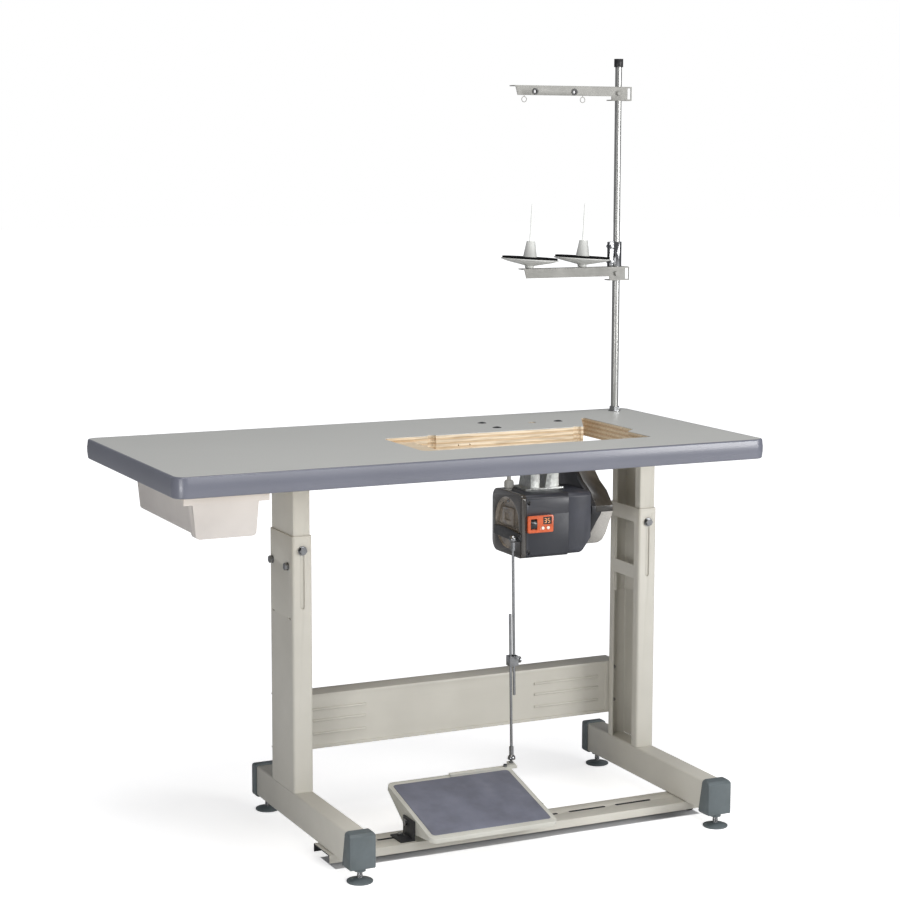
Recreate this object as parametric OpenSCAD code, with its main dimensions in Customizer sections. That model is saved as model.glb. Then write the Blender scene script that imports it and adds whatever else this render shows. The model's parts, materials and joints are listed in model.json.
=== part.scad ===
// Industrial sewing-machine table: height-adjustable T-leg stand, servo motor,
// treadle with pitman rod, drawer and thread stand. Millimetres, +Z up, +X along
// the table to the operator's right, +Y away from the operator. The origin lies on
// the floor under the centre of the table.

/* [Table] */
// Length of the table top along X
table_w = 1200; // [1140:1:1300]
// Depth of the table top along Y
table_d = 560; // [550:1:640]
// Thickness of the table top
table_t = 38; // [30:1:44]
// Height of the table's working face above the floor, at the stand's highest setting
table_h = 780; // [772:1:800]
// Corner radius of the table top in plan
table_r = 24; // [12:1:40]
// Depth of the plastic edge moulding
moulding_t = 6; // [5:0.5:9]
// Roundness of the moulding's top and bottom edges
moulding_round = 3; // [2:0.5:3.5]
// Bulge of the moulding's face
moulding_bulge = 2; // [1.5:0.1:2.5]
// Thickness of the decorative laminate sheet
laminate_t = 1.2; // [0.8:0.1:2]

/* [Machine cut-out] */
// Left end of the cut-out
cut_x0 = -78; // [-90:1:-60]
// Right end of the cut-out
cut_x1 = 411; // [400:1:420]
// Front edge of the cut-out
cut_y0 = -157; // [-170:1:-140]
// Back edge of the cut-out
cut_y1 = 36; // [25:1:45]
// Length of the seating ledge at the left end
ledge_l = 62; // [40:1:80]
// Depth of the seating ledge below the working face
ledge_z = 10; // [6:0.5:14]
// Radius of the cut-out's left corners
cut_r = 18; // [8:1:24]
// Left end of the tapered belt bay
bay_x0 = 366; // [356:1:376]
// Right side of the belt bay
bay_x1 = 436; // [430:1:446]
// Back tip of the belt bay
bay_y1 = 158; // [145:1:170]
// Radius of the two hinge notches in the back edge
hinge_r = 9; // [6:0.5:12]
// Left hinge notch's centre
hinge_x0 = 28; // [10:1:60]
// Right hinge notch's centre
hinge_x1 = 352; // [330:1:356]

/* [Stand] */
// Centre of the left leg along X
leg_x_left = -240.5; // [-260:0.5:-225]
// Centre of the right leg along X
leg_x_right = 527.5; // [521:0.5:540]
// Centre of both columns along Y
column_y = 109; // [100:1:118]
// Width of a lower column along X
column_w = 41; // [36:0.5:46]
// Depth of a lower column along Y
column_d = 122; // [110:1:130]
// Wall of the column channels
column_t = 2.5; // [2:0.1:3]
// Width of the lips along the channel's open side
column_lip = 20; // [14:1:24]
// Top of the lower columns above the floor
column_top = 598; // [585:1:610]
// Length of an upper column
upper_len = 330; // [300:1:345]
// Gap between the sliding columns
column_gap = 0.4; // [0.3:0.05:0.6]
// Outer radius of the column channels' corners
column_r = 5; // [4:0.5:7]
// Travel of the table's height adjustment
height_travel = 110; // [80:1:112]
// Height of the front height bolts above the floor
height_bolt_z = 570; // [566:1:574]

/* [Feet] */
// Width of a foot beam
beam_w = 41; // [38:0.5:46]
// Height of a foot beam
beam_h = 62; // [56:0.5:68]
// Underside of the foot beams above the floor
beam_z = 29; // [27:0.5:32]
// Front end of the foot beams
beam_y0 = -240; // [-248:1:-234]
// Back end of the foot beams
beam_y1 = 274; // [262:1:276]
// Wall of the foot beams
beam_t = 2; // [1.5:0.1:2.5]
// Wall of the front end caps
cap_front_t = 5; // [4:0.25:6]
// Wall of the back end caps
cap_back_t = 3; // [2.5:0.25:4]
// Reach of the front caps along the beam's underside
cap_front = 33; // [28:1:40]
// Reach of the back caps along the beam
cap_back = 18; // [14:1:24]
// Diameter of a levelling foot's disc
foot_d = 49.5; // [40:0.5:56]
// Height of a levelling foot's disc
foot_h = 8; // [7:0.5:9]
// Thread diameter of a levelling foot
foot_stud_d = 10; // [8:0.5:12]
// Distance of a front foot from its beam's end
foot_inset_front = 9; // [8:0.5:14]
// Distance of a back foot from its beam's end
foot_inset_back = 24; // [18:1:30]

/* [Cross members] */
// Width of the crossbar along Y
crossbar_d = 79; // [72:1:84]
// Height of the crossbar
crossbar_h = 16; // [12:0.5:18]
// Centre of the crossbar along Y
crossbar_y = -111.5; // [-114:0.5:-108]
// Wall of the crossbar
crossbar_t = 2.5; // [2:0.1:3]
// How far the crossbar passes the foot beams
crossbar_over = 7; // [3:1:12]
// Width of the adjusting slots
slot_w = 8.5; // [8:0.25:10]
// Underside of the stretcher above the floor
stretcher_z = 138; // [125:1:150]
// Height of the stretcher
stretcher_h = 112; // [100:1:125]
// Depth of the stretcher's flanges
stretcher_d = 51; // [40:1:60]
// Sheet thickness of the stretcher
stretcher_t = 2; // [1.5:0.1:2.5]
// Depth of the panel pressed into the stretcher's web
stretcher_step = 3; // [2:0.25:4]

/* [Treadle] */
// Height of the treadle's pivot above the floor
treadle_z = 57; // [55:0.5:59]
// Pivot of the treadle along Y
treadle_y = -107; // [-110:0.5:-105]
// Rest angle of the treadle, heel side up
treadle_tilt = 13.6; // [10:0.2:16]
// Left side of the treadle frame
treadle_x0 = -88; // [-92:1:-82]
// Right side of the treadle frame
treadle_x1 = 183; // [178:1:186]
// Reach of the frame in front of the pivot
treadle_front = 106; // [98:1:112]
// Reach of the frame behind the pivot
treadle_back = 113; // [106:1:113]
// Height of the frame's face above the pivot
treadle_rise = 21; // [19:0.5:23]
// Border of the frame beside the mat
treadle_border = 9; // [6:0.5:12]
// Sheet thickness of the treadle frame
treadle_t = 3; // [2.5:0.1:3.5]
// Thickness of the mat
mat_t = 3; // [2:0.5:4]
// Diameter of the treadle's pivot bolts
pivot_d = 8; // [6:0.5:9]

/* [Pitman] */
// Diameter of the pitman rods
rod_d = 5.5; // [5:0.1:5.8]
// Ball diameter of both rod joints
ball_d = 10; // [9:0.5:11]
// X of both ball joints
pitman_x = 189; // [188:0.5:190]
// Y of both ball joints
pitman_y = 0; // [-2:0.5:2]
// Height of the lower ball joint
ball_z = 120; // [118:0.5:122]
// Distance between the two rods' centrelines
rod_gap = 7.6; // [7.5:0.1:8.5]
// Drop of the upper ball joint below the motor's shaft
lever_ball_drop = 24; // [20:1:28]
// Length of the lower rod
lower_rod_len = 296; // [270:1:310]
// Length of the upper rod
upper_rod_len = 318; // [300:1:325]
// Height of the rod clamp
clamp_z = 321; // [300:1:335]
// Swing room of the upper rod in the clamp, along Y
clamp_swing = 2.6; // [2.4:0.1:3]

/* [Motor] */
// Left face of the motor
motor_x0 = 202; // [200:0.5:204]
// Length of the end cap
end_cap_l = 10; // [9:0.5:12]
// Right end of the main shell
shell_x1 = 307; // [300:1:312]
// Right end of the end bell
bell_x1 = 359; // [350:1:364]
// Centre of the motor along Y
motor_y = 52; // [48:1:56]
// Drop of the motor's shaft below the table's underside
motor_drop = 150; // [142:1:170]
// Depth of the motor along Y
motor_d = 132; // [124:1:138]
// Height of the motor body
motor_h = 128; // [122:1:132]
// Radius of the motor's front corners
motor_r = 10; // [8:1:14]
// Radius of the motor's back corners
motor_back_r = 22; // [16:1:26]
// Bore of the main shell
stator_d = 112; // [104:1:116]
// Diameter of the motor shaft
shaft_d = 15; // [12:0.5:17]
// Outer diameter of the ball bearings
bearing_d = 35; // [30:1:40]
// Outer diameter of the belt pulley
pulley_d = 66; // [50:1:72]
// Right end of the pulley guard
guard_x1 = 410; // [406:1:414]
// Sheet thickness of the pulley guard
guard_t = 2.5; // [2:0.1:3]

/* [Drawer] */
// Distance of the drawer's body from the table's left end
drawer_inset = 45; // [35:1:60]
// Width of the drawer's body
drawer_w = 124; // [110:1:130]
// Distance of the drawer's front from the table's front edge
drawer_setback = 44; // [36:1:60]
// Length of the drawer
drawer_l = 330; // [300:1:350]
// Height of the drawer
drawer_h = 74; // [62:1:82]
// Wall of the drawer
drawer_t = 2.8; // [2:0.1:4]

/* [Thread stand] */
// Distance of the pole from the table's right end
pole_inset = 48; // [44:1:52]
// Distance of the pole from the table's back edge
pole_setback = 44; // [40:1:50]
// Diameter of the lower pole
pole_d = 16; // [14:0.5:18]
// Diameter of the upper pole
pole_upper_d = 14; // [12:0.5:15]
// Top of the upper pole above the floor
pole_top = 1523; // [1490:1:1550]
// Top face of the spool arm above the floor
spool_arm_z = 1089; // [1070:1:1100]
// Reach of the spool arm from the pole's axis
spool_arm_l = 228; // [222:1:234]
// Top face of the guide arm above the floor
guide_arm_z = 1466; // [1450:1:1476]
// Reach of the guide arm from the pole's axis
guide_arm_l = 251; // [242:1:260]
// Height of an arm's web
arm_h = 20; // [18:0.5:22]
// Depth of an arm's flange
arm_d = 22; // [20:0.5:26]
// Sheet thickness of the arms
arm_t = 2; // [1.5:0.1:2.5]
// Diameter of a spool dish
dish_d = 121; // [100:1:123]
// Lean of the spool seats toward the pole
seat_lean = 3.5; // [0:0.25:4]

/* [Hidden] */
$fn = 48;
eps = 0.01;

// Clearances shared by the moving pieces
run_gap = 0.35;
bore_gap = 0.05;

// Heights that follow from the table and the stand
under_z = table_h - table_t;
beam_top = beam_z + beam_h;
motor_z = under_z - motor_drop;
lever_ball_z = motor_z - lever_ball_drop;
upper_w = column_w - 2 * (column_t + column_gap);
upper_d = column_d - 2 * (column_t + column_gap);
plate_t = 4;
plate_w = 58;
plate_setback = 172;
plate_l = table_d - 2 * plate_setback;
upper_top = under_z - plate_t;
column_y1 = column_y + column_d / 2;

// Colours
frame_paint = "#CBC8BE";
dark_plastic = "#5E6466";
zinc = "#B9BAB8";
black = "#1C1D1F";
motor_paint = "#4B4D56";
guard_beige = "#B4AEA4";

// ---------------------------------------------------------------- shared shapes

// Rectangle with round corners, centred
module round_rect(w, d, r) {
    square([w - 2 * r, d], center = true);
    square([w, d - 2 * r], center = true);
    for (sx = [-1, 1], sy = [-1, 1])
        translate([sx * (w / 2 - r), sy * (d / 2 - r)]) circle(r);
}

// Channel with lips, open toward +X, centred
module lipped_channel(w, d, t, lip, r) {
    difference() {
        round_rect(w, d, r);
        round_rect(w - 2 * t, d - 2 * t, r - t);
        translate([w / 2 - t - 1, lip - d / 2]) square([t + 2, d - 2 * lip]);
    }
}

// Rod along +Z with its own diameter
module rod(d, l) {
    cylinder(d = d, h = l);
}

// Hexagon of a bolt head or a nut, across flats
module hex(af, h) {
    cylinder(d = af / cos(30), h = h, $fn = 6);
}

// Dome-head screw: head above the origin plane, shank below it
module dome_screw(d, l, head_d, head_h) {
    dome_r = (head_h * head_h + head_d * head_d / 4) / (2 * head_h);
    intersection() {
        translate([0, 0, head_h - dome_r]) sphere(r = dome_r);
        cylinder(d = head_d, h = head_h);
    }
    translate([0, 0, -l]) rod(d, l + eps);
}

// ------------------------------------------------------------------- table top

pole_x = table_w / 2 - pole_inset;
pole_y = table_d / 2 - pole_setback;
board_w = table_w - 2 * moulding_t;
board_d = table_d - 2 * moulding_t;
board_r = table_r - moulding_t;
pole_hole_d = 12.4;
mount_d = 8.4;
mounts_xy = [[201.6, 166.7], [198, 90.8], [358.8, 131.1]];
spare_hole = [300.9, 136];
spare_hole_d = 18;
pilot_d = 3;
pilot_l = 12;
pilot_x = [86, 111];
pilot_drop = 22.5;
ledge_pilot = [-30.5, -7];

// Outline of the machine cut-out, belt bay and hinge notches
module cut_outline(x_from) {
    bay_jog = 24;
    difference() {
        translate([(x_from + cut_x1) / 2, (cut_y0 + cut_y1) / 2])
            square([cut_x1 - x_from, cut_y1 - cut_y0], center = true);
        for (sy = [0, 1]) translate([x_from, sy == 0 ? cut_y0 : cut_y1])
            difference() {
                square(2 * cut_r, center = true);
                translate([cut_r, sy == 0 ? cut_r : -cut_r]) circle(cut_r);
                translate([cut_r, -2 * cut_r]) square(4 * cut_r);
                translate([-2 * cut_r, sy == 0 ? cut_r : -5 * cut_r]) square(4 * cut_r);
            }
    }
    polygon([[bay_x0, cut_y1 - 20], [bay_x0, cut_y1], [bay_x1 - 8, bay_y1],
        [bay_x1, bay_y1], [bay_x1, cut_y1 - 80], [cut_x1 - 1, cut_y1 - 80 - bay_jog]]);
    for (x = [hinge_x0, hinge_x1]) translate([x, cut_y1]) circle(hinge_r);
}

// Holes through the whole table top
module top_holes(z0, h) {
    for (p = mounts_xy) translate([p[0], p[1], z0]) cylinder(d = mount_d, h = h);
    translate([spare_hole[0], spare_hole[1], z0]) cylinder(d = spare_hole_d, h = h);
    translate([pole_x, pole_y, z0]) cylinder(d = pole_hole_d, h = h);
}

module table_board() {
    color("#D9BE93") difference() {
        translate([0, 0, under_z]) linear_extrude(table_t - laminate_t)
            round_rect(board_w, board_d, board_r);
        translate([0, 0, table_h - ledge_z]) linear_extrude(ledge_z + 1)
            cut_outline(cut_x0);
        translate([0, 0, under_z - 1]) linear_extrude(table_t + 2)
            cut_outline(cut_x0 + ledge_l);
        top_holes(under_z - 1, table_t + 2);
        for (x = pilot_x) translate([x, cut_y1 - 1, table_h - pilot_drop])
            rotate([-90, 0, 0]) cylinder(d = pilot_d, h = pilot_l);
        translate([ledge_pilot[0], ledge_pilot[1], table_h - ledge_z - pilot_l])
            cylinder(d = pilot_d, h = pilot_l + 1);
    }
}

module table_laminate() {
    color("#C2C1BC") difference() {
        translate([0, 0, table_h - laminate_t]) linear_extrude(laminate_t)
            round_rect(board_w, board_d, board_r);
        translate([0, 0, table_h - ledge_z]) linear_extrude(ledge_z + 1)
            cut_outline(cut_x0);
        top_holes(under_z - 1, table_t + 2);
    }
}

// Cross-section of the moulding: x outward from the board, y up, with a bulged face
module moulding_section() {
    q = moulding_round;
    half = table_t / 2;
    bulge_r = (half * half + moulding_bulge * moulding_bulge) / (2 * moulding_bulge);
    round_x = moulding_t - bulge_r + sqrt(pow(bulge_r - q, 2) - pow(half - q, 2));
    touch = q - q * (half - q) / (bulge_r - q);
    intersection() {
        union() {
            square([round_x, table_t]);
            for (y = [q, table_t - q]) translate([round_x, y]) circle(q);
            intersection() {
                translate([moulding_t - bulge_r, half]) circle(bulge_r, $fn = 240);
                translate([0, touch]) square([moulding_t, table_t - 2 * touch]);
            }
        }
        square([moulding_t, table_t]);
    }
}

module edge_moulding() {
    straight_x = board_w - 2 * board_r;
    straight_y = board_d - 2 * board_r;
    color("#7E818F") translate([0, 0, under_z]) {
        for (s = [0, 1]) rotate([0, 0, 180 * s]) {
            translate([-straight_x / 2, -board_d / 2, 0]) rotate([90, 0, 90])
                linear_extrude(straight_x) mirror([1, 0]) moulding_section();
            translate([board_w / 2, straight_y / 2, 0]) rotate([90, 0, 0])
                linear_extrude(straight_y) moulding_section();
            translate([straight_x / 2, straight_y / 2, 0]) rotate_extrude(angle = 90)
                translate([board_r, 0]) moulding_section();
            translate([straight_x / 2, -straight_y / 2, 0]) rotate([0, 0, -90])
                rotate_extrude(angle = 90) translate([board_r, 0]) moulding_section();
        }
    }
}

// ---------------------------------------------------------------------- drawer

rim_t = 3;
rim_out = 17;
rail_t = 2;
drawer_top = under_z - 6;
drawer_x0 = -table_w / 2 + drawer_inset;
drawer_y0 = -table_d / 2 + drawer_setback;
drawer_mid = drawer_x0 + drawer_w / 2;
drawer_front_l = 26;
rail_x = drawer_w / 2 + rim_out + run_gap;
rail_y0 = drawer_y0 + drawer_front_l + 2;
rail_l = drawer_l + 14;

// Z-section rail on one side: top flange, web, and a shelf under the drawer's rim
module drawer_rail() {
    shelf = rim_out - 2;
    flange = 16;
    shelf_z = drawer_top - rim_t - rail_t - run_gap;
    translate([rail_x, 0, shelf_z]) cube([rail_t, rail_l, under_z - shelf_z]);
    translate([rail_x, 0, under_z - rail_t]) cube([flange, rail_l, rail_t]);
    translate([rail_x - shelf, 0, shelf_z]) cube([shelf + eps, rail_l, rail_t]);
}

module drawer_rails() {
    color("#D6D4CE") translate([drawer_mid, rail_y0, 0])
        for (s = [0, 1]) mirror([s, 0, 0]) drawer_rail();
}

// Block along Y with drafted sides and round lower edges, wider by grow on each side
module drawer_block(grow, y0, y1, z0, z1) {
    r = 8;
    draft = 6;
    half = drawer_w / 2 + grow;
    translate([0, y1, 0]) rotate([90, 0, 0]) linear_extrude(y1 - y0) hull() {
        translate([-half, z1 - 1]) square([2 * half, 1]);
        for (s = [-1, 1]) translate([s * (half - draft - r), z0 + r]) circle(r);
    }
}

// Tub with a thicker front block, a sliding rim and a deep lip across the front
module drawer_tub() {
    step = 2;
    lip_t = 5;
    lip_h = 12;
    grip = 20;
    z0 = drawer_top - drawer_h;
    rim_w = drawer_w + 2 * rim_out;
    color("#CFCAC4") translate([drawer_mid, 0, 0]) difference() {
        union() {
            drawer_block(0, drawer_y0, drawer_y0 + drawer_front_l, z0, drawer_top);
            drawer_block(-step, drawer_y0 + grip, drawer_y0 + drawer_l, z0 + 2 * step,
                drawer_top);
            translate([-rim_w / 2, drawer_y0 - lip_t, drawer_top - rim_t])
                cube([rim_w, drawer_l + lip_t, rim_t]);
            translate([-rim_w / 2, drawer_y0 - lip_t, drawer_top - lip_h])
                cube([rim_w, lip_t + eps, lip_h]);
        }
        drawer_block(-step - drawer_t, drawer_y0 + grip, drawer_y0 + drawer_l - drawer_t,
            z0 + 2 * step + drawer_t, drawer_top + 1);
    }
}

// ----------------------------------------------------------------- height stand

leg_xs = [leg_x_left, leg_x_right];

// Turns a channel that opens toward +X so that both legs open toward the middle
module at_leg(i) {
    translate([leg_xs[i], column_y, 0]) mirror([i, 0, 0]) children();
}

bolt_d = 8;
screw_d = 4.5;
plate_screw_inset = 14;
plate_screw_y = [for (s = [-1, 1]) s * (plate_l / 2 - plate_screw_inset)];
plate_screw_x = [-22, 22];

module upper_column() {
    difference() {
        union() {
            translate([0, 0, upper_top - upper_len]) linear_extrude(upper_len)
                lipped_channel(upper_w, upper_d, column_t, column_lip, column_r - column_t);
            translate([-plate_w / 2, -plate_l / 2, upper_top])
                cube([plate_w, plate_l, plate_t]);
        }
        for (x = plate_screw_x, y = plate_screw_y)
            translate([x, y, upper_top - 1]) cylinder(d = screw_d, h = plate_t + 2);
        translate([0, -upper_d / 2 - 1, height_bolt_z]) rotate([-90, 0, 0])
            cylinder(d = bolt_d, h = column_t + 2);
    }
}

module upper_columns() {
    color(frame_paint) for (i = [0, 1]) at_leg(i) upper_column();
}

module table_screws() {
    rail_screw_x = rail_x + 9;
    rail_screw_inset = 25;
    color(zinc) {
        for (i = [0, 1]) at_leg(i) for (x = plate_screw_x, y = plate_screw_y)
            translate([x, y, upper_top - 3]) {
                cylinder(d = 9, h = 3);
                rod(screw_d, 3 + plate_t);
            }
        for (s = [-1, 1], y = [rail_screw_inset, rail_l - rail_screw_inset])
            translate([drawer_mid + s * rail_screw_x, rail_y0 + y,
                under_z - rail_t - 2.5]) cylinder(d = 8, h = 2.5);
    }
}

// Front bolts: fast in the upper columns, sliding in the lower columns' slots
module height_bolts() {
    washer_t = 2;
    reach = column_t + column_gap + column_t + 10;
    out_y = -column_d / 2 - run_gap;
    color(zinc) for (i = [0, 1]) at_leg(i) translate([0, out_y, height_bolt_z])
        rotate([90, 0, 0]) {
            cylinder(d = 18, h = washer_t);
            translate([0, 0, washer_t]) hex(13, 6);
            translate([0, 0, -reach]) rod(bolt_d, reach + eps);
        }
}

web_bolt_y = [-37, 46];
web_bolt_z = column_top - 61;
slit_y = [-44, 43];
slit_z = column_top - 164;
slit_l = 12;
slit_h = 3;

module lower_column() {
    slot_top = height_bolt_z + bolt_d / 2 + 1;
    slot_bottom = height_bolt_z - height_travel - bolt_d / 2 - 1;
    cross = column_d - 2 * column_lip + 2 * eps;
    difference() {
        union() {
            translate([0, 0, beam_top]) linear_extrude(column_top - beam_top)
                lipped_channel(column_w, column_d, column_t, column_lip, column_r);
            for (z = [column_top - 30, column_top - 149])
                translate([column_w / 2 - column_t, -cross / 2, z])
                    cube([column_t, cross, z > column_top - 100 ? 30 : 28]);
        }
        translate([0, -column_d / 2 - 1, 0]) rotate([-90, 0, 0]) linear_extrude(column_t + 2) {
            translate([-(bolt_d + 0.8) / 2, -slot_top + 4])
                square([bolt_d + 0.8, slot_top - slot_bottom - 8]);
            for (z = [slot_top - 4.4, slot_bottom + 4.4])
                translate([0, -z]) circle(d = bolt_d + 0.8);
        }
        for (y = web_bolt_y) translate([-column_w / 2 - 1, y, web_bolt_z])
            rotate([0, 90, 0]) cylinder(d = bolt_d, h = column_t + 2);
        for (y = slit_y) translate([-column_w / 2 - 1, y - slit_l / 2, slit_z])
            cube([column_t + 2, slit_l, slit_h]);
        for (z = stretcher_bolt_z)
            translate([stretcher_bolt_x, column_d / 2 - column_t - 1, z])
            rotate([-90, 0, 0]) cylinder(d = bolt_d, h = column_t + 2);
    }
}

module left_lower_column() {
    color(frame_paint) at_leg(0) lower_column();
}

module right_lower_column() {
    color(frame_paint) at_leg(1) lower_column();
}

// ------------------------------------------------------------------------ feet

beam_l = beam_y1 - beam_y0;
foot_ys = [beam_y0 + foot_inset_front, beam_y1 - foot_inset_back];
foot_hole_d = foot_stud_d + 2 * bore_gap;

module foot_beam(x) {
    difference() {
        translate([x, beam_y1, beam_z + beam_h / 2]) rotate([90, 0, 0])
            linear_extrude(beam_l) difference() {
                round_rect(beam_w, beam_h, 4);
                round_rect(beam_w - 2 * beam_t, beam_h - 2 * beam_t, 2);
            }
        for (y = foot_ys) translate([x, y, beam_z - 1])
            cylinder(d = foot_stud_d + 4, h = beam_t + 2);
        for (s = [-1, 1]) translate([x + s * crossbar_bolt_x, crossbar_y, beam_z - 1])
            cylinder(d = bolt_d, h = beam_t + 2);
    }
}

module left_foot_beam() {
    color(frame_paint) foot_beam(leg_x_left);
}

module right_foot_beam() {
    color(frame_paint) foot_beam(leg_x_right);
}

// Solid block of a cap: y from the beam's end along the beam, z from its middle
module cap_block(wall, end_t, drop, reach, top_reach) {
    outer_w = beam_w + 2 * wall;
    half_h = beam_h / 2 + wall;
    intersection() {
        translate([0, reach, 0]) rotate([90, 0, 0]) linear_extrude(reach + end_t)
            round_rect(outer_w, 2 * half_h, 7);
        translate([-outer_w / 2, 0, 0]) rotate([90, 0, 90]) linear_extrude(outer_w)
            polygon([[-end_t, drop / 2 - half_h], [-end_t, half_h - drop],
                [-1, half_h - drop / 3], [top_reach, half_h], [reach, -half_h]]);
    }
}

// Plastic cap: skirt round the beam, end wall, and a threaded boss for the foot
module end_cap(wall, end_t, drop, reach, top_reach, inset) {
    low = -beam_h / 2 - wall;
    collar_h = 3;
    difference() {
        union() {
            cap_block(wall, end_t, drop, reach, top_reach);
            translate([0, inset, low - collar_h])
                cylinder(d = foot_stud_d + 12, h = wall + collar_h);
        }
        rotate([-90, 0, 0]) linear_extrude(reach + inset + foot_stud_d)
            round_rect(beam_w, beam_h, 4);
        translate([0, inset, low - collar_h - 1])
            cylinder(d = foot_hole_d, h = wall + collar_h + 2);
    }
    translate([0, inset, -beam_h / 2]) difference() {
        cylinder(d = foot_stud_d + 4, h = beam_t);
        translate([0, 0, -1]) cylinder(d = foot_hole_d, h = beam_t + 2);
    }
}

module foot_end_caps() {
    color(dark_plastic) for (x = leg_xs) {
        translate([x, beam_y0, beam_z + beam_h / 2])
            end_cap(cap_front_t, cap_front_t + 1, 7, cap_front, 18, foot_inset_front);
        translate([x, beam_y1, beam_z + beam_h / 2]) mirror([0, 1, 0])
            end_cap(cap_back_t, cap_back_t, 2, cap_back, cap_back, foot_inset_back);
    }
}

module levelling_foot(x, y) {
    translate([x, y, 0]) {
        color(dark_plastic) rotate_extrude() polygon([[0, 0], [foot_d / 2 - 1, 0],
            [foot_d / 2, 1], [foot_d / 2, 3], [foot_d / 2 - 5, 4.5],
            [foot_stud_d / 2 + 3, foot_h], [0, foot_h]]);
        color(zinc) translate([0, 0, foot_h - eps]) rod(foot_stud_d, 47 + eps);
    }
}

module front_left_foot() {
    levelling_foot(leg_x_left, foot_ys[0]);
}

module front_right_foot() {
    levelling_foot(leg_x_right, foot_ys[0]);
}

module back_left_foot() {
    levelling_foot(leg_x_left, foot_ys[1]);
}

module back_right_foot() {
    levelling_foot(leg_x_right, foot_ys[1]);
}

// --------------------------------------------------------------- cross members

crossbar_x0 = leg_x_left - beam_w / 2 - crossbar_over;
crossbar_x1 = leg_x_right + beam_w / 2 + crossbar_over;
crossbar_bolt_x = 11;
bracket_slot_left = [-153, -70];
bracket_slot_right = [155, 238];
crossbar_slots = [bracket_slot_left, bracket_slot_right, [263, 346], [369, 451]];
stretcher_bolt_z = [stretcher_z + 28, stretcher_z + 100];
stretcher_bolt_x = 10;
stretcher_end = 19;

// Straight slot with round ends along X, cut downward through a plate
module slot_cut(x0, x1, h) {
    translate([x0 + slot_w / 2, -slot_w / 2, 0]) cube([x1 - x0 - slot_w, slot_w, h]);
    for (x = [x0 + slot_w / 2, x1 - slot_w / 2]) translate([x, 0, 0])
        cylinder(d = slot_w, h = h);
}

module crossbar() {
    color(frame_paint) difference() {
        translate([crossbar_x0, crossbar_y, beam_z - crossbar_h]) rotate([90, 0, 90])
            linear_extrude(crossbar_x1 - crossbar_x0) difference() {
                translate([-crossbar_d / 2, 0]) square([crossbar_d, crossbar_h]);
                translate([-crossbar_d / 2 + crossbar_t, -1])
                    square([crossbar_d - 2 * crossbar_t, crossbar_h - crossbar_t + 1]);
            }
        translate([0, treadle_y, beam_z - crossbar_t - 1])
            for (s = crossbar_slots) slot_cut(s[0], s[1], crossbar_t + 2);
        for (x = leg_xs, s = [-1, 1])
            translate([x + s * crossbar_bolt_x, crossbar_y, beam_z - crossbar_t - 1])
                cylinder(d = bolt_d, h = crossbar_t + 2);
    }
}

// Channel open to the back; its web is pressed back between the columns
module stretcher() {
    x0 = leg_x_left - column_w / 2 + stretcher_end;
    x1 = leg_x_right + column_w / 2 - stretcher_end;
    press_x0 = leg_x_left + column_w / 2 + 6;
    press_x1 = leg_x_right - column_w / 2 - 6;
    lip = 6;
    rib_l = 153;
    rib_x = [press_x0 + 5, press_x1 - 18 - rib_l];
    inside_h = stretcher_h - 2 * stretcher_t;
    color(frame_paint) difference() {
        union() {
            difference() {
                translate([x0, column_y1, stretcher_z])
                    cube([x1 - x0, stretcher_d, stretcher_h]);
                translate([x0 - 1, column_y1 + stretcher_t + stretcher_step,
                    stretcher_z + stretcher_t]) cube([x1 - x0 + 2, stretcher_d, inside_h]);
                for (x = [[x0 - 1, press_x0 - stretcher_t], [press_x1 + stretcher_t, x1 + 1]])
                    translate([x[0], column_y1 + stretcher_t, stretcher_z + stretcher_t])
                        cube([x[1] - x[0], stretcher_d, inside_h]);
                translate([press_x0, column_y1 - 1, stretcher_z + lip])
                    cube([press_x1 - press_x0, stretcher_step + 1, stretcher_h - 2 * lip]);
            }
            for (x = rib_x, z = [30, 57, 80])
                translate([x, column_y1 + stretcher_step + eps, stretcher_z + z])
                    rotate([0, 90, 0]) cylinder(r = 3, h = rib_l, $fn = 24);
        }
        for (i = [0, 1], z = stretcher_bolt_z)
            at_leg(i) translate([stretcher_bolt_x, column_d / 2 - 1, z]) rotate([-90, 0, 0])
                cylinder(d = bolt_d, h = stretcher_t + 2);
    }
}

// Stretcher, crossbar and column bolts, treadle-bracket bolts
module frame_bolts() {
    nut_h = 6;
    color(zinc) {
        for (i = [0, 1]) at_leg(i) {
            for (z = stretcher_bolt_z)
                translate([stretcher_bolt_x, column_d / 2 + stretcher_t, z]) rotate([-90, 0, 0]) {
                    hex(13, nut_h);
                    translate([0, 0, -stretcher_t - column_t - 5])
                        rod(bolt_d, stretcher_t + column_t + 5 + eps);
                }
            for (y = web_bolt_y) translate([-column_w / 2, y, web_bolt_z])
                rotate([0, -90, 0]) {
                    cylinder(d = 16, h = 1.6);
                    translate([0, 0, 1.6]) hex(13, nut_h);
                    translate([0, 0, -column_t]) rod(bolt_d, column_t + 1.6 + eps);
                }
            for (s = [-1, 1]) translate([s * crossbar_bolt_x, crossbar_y - column_y,
                beam_z - crossbar_t]) {
                translate([0, 0, -nut_h]) hex(13, nut_h);
                rod(bolt_d, crossbar_t + beam_t + 6);
            }
        }
        for (x = bracket_bolt_x) translate([x, treadle_y, beam_z]) {
            translate([0, 0, bracket_t]) hex(11, 5);
            translate([0, 0, -crossbar_t - 8]) rod(6, crossbar_t + 8 + bracket_t + eps);
            translate([0, 0, -crossbar_t - 5]) hex(10, 5);
        }
    }
}

// --------------------------------------------------------------------- treadle

bracket_t = 3;
bracket_y = [-36, 14];
bracket_rise = 10;
bracket_foot = 30;
bracket_x = [treadle_x0 - 1 - bracket_t, treadle_x1 + 1];
bracket_bolt_x = [bracket_x[0] - 12, bracket_x[1] + bracket_t + 14];

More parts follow.
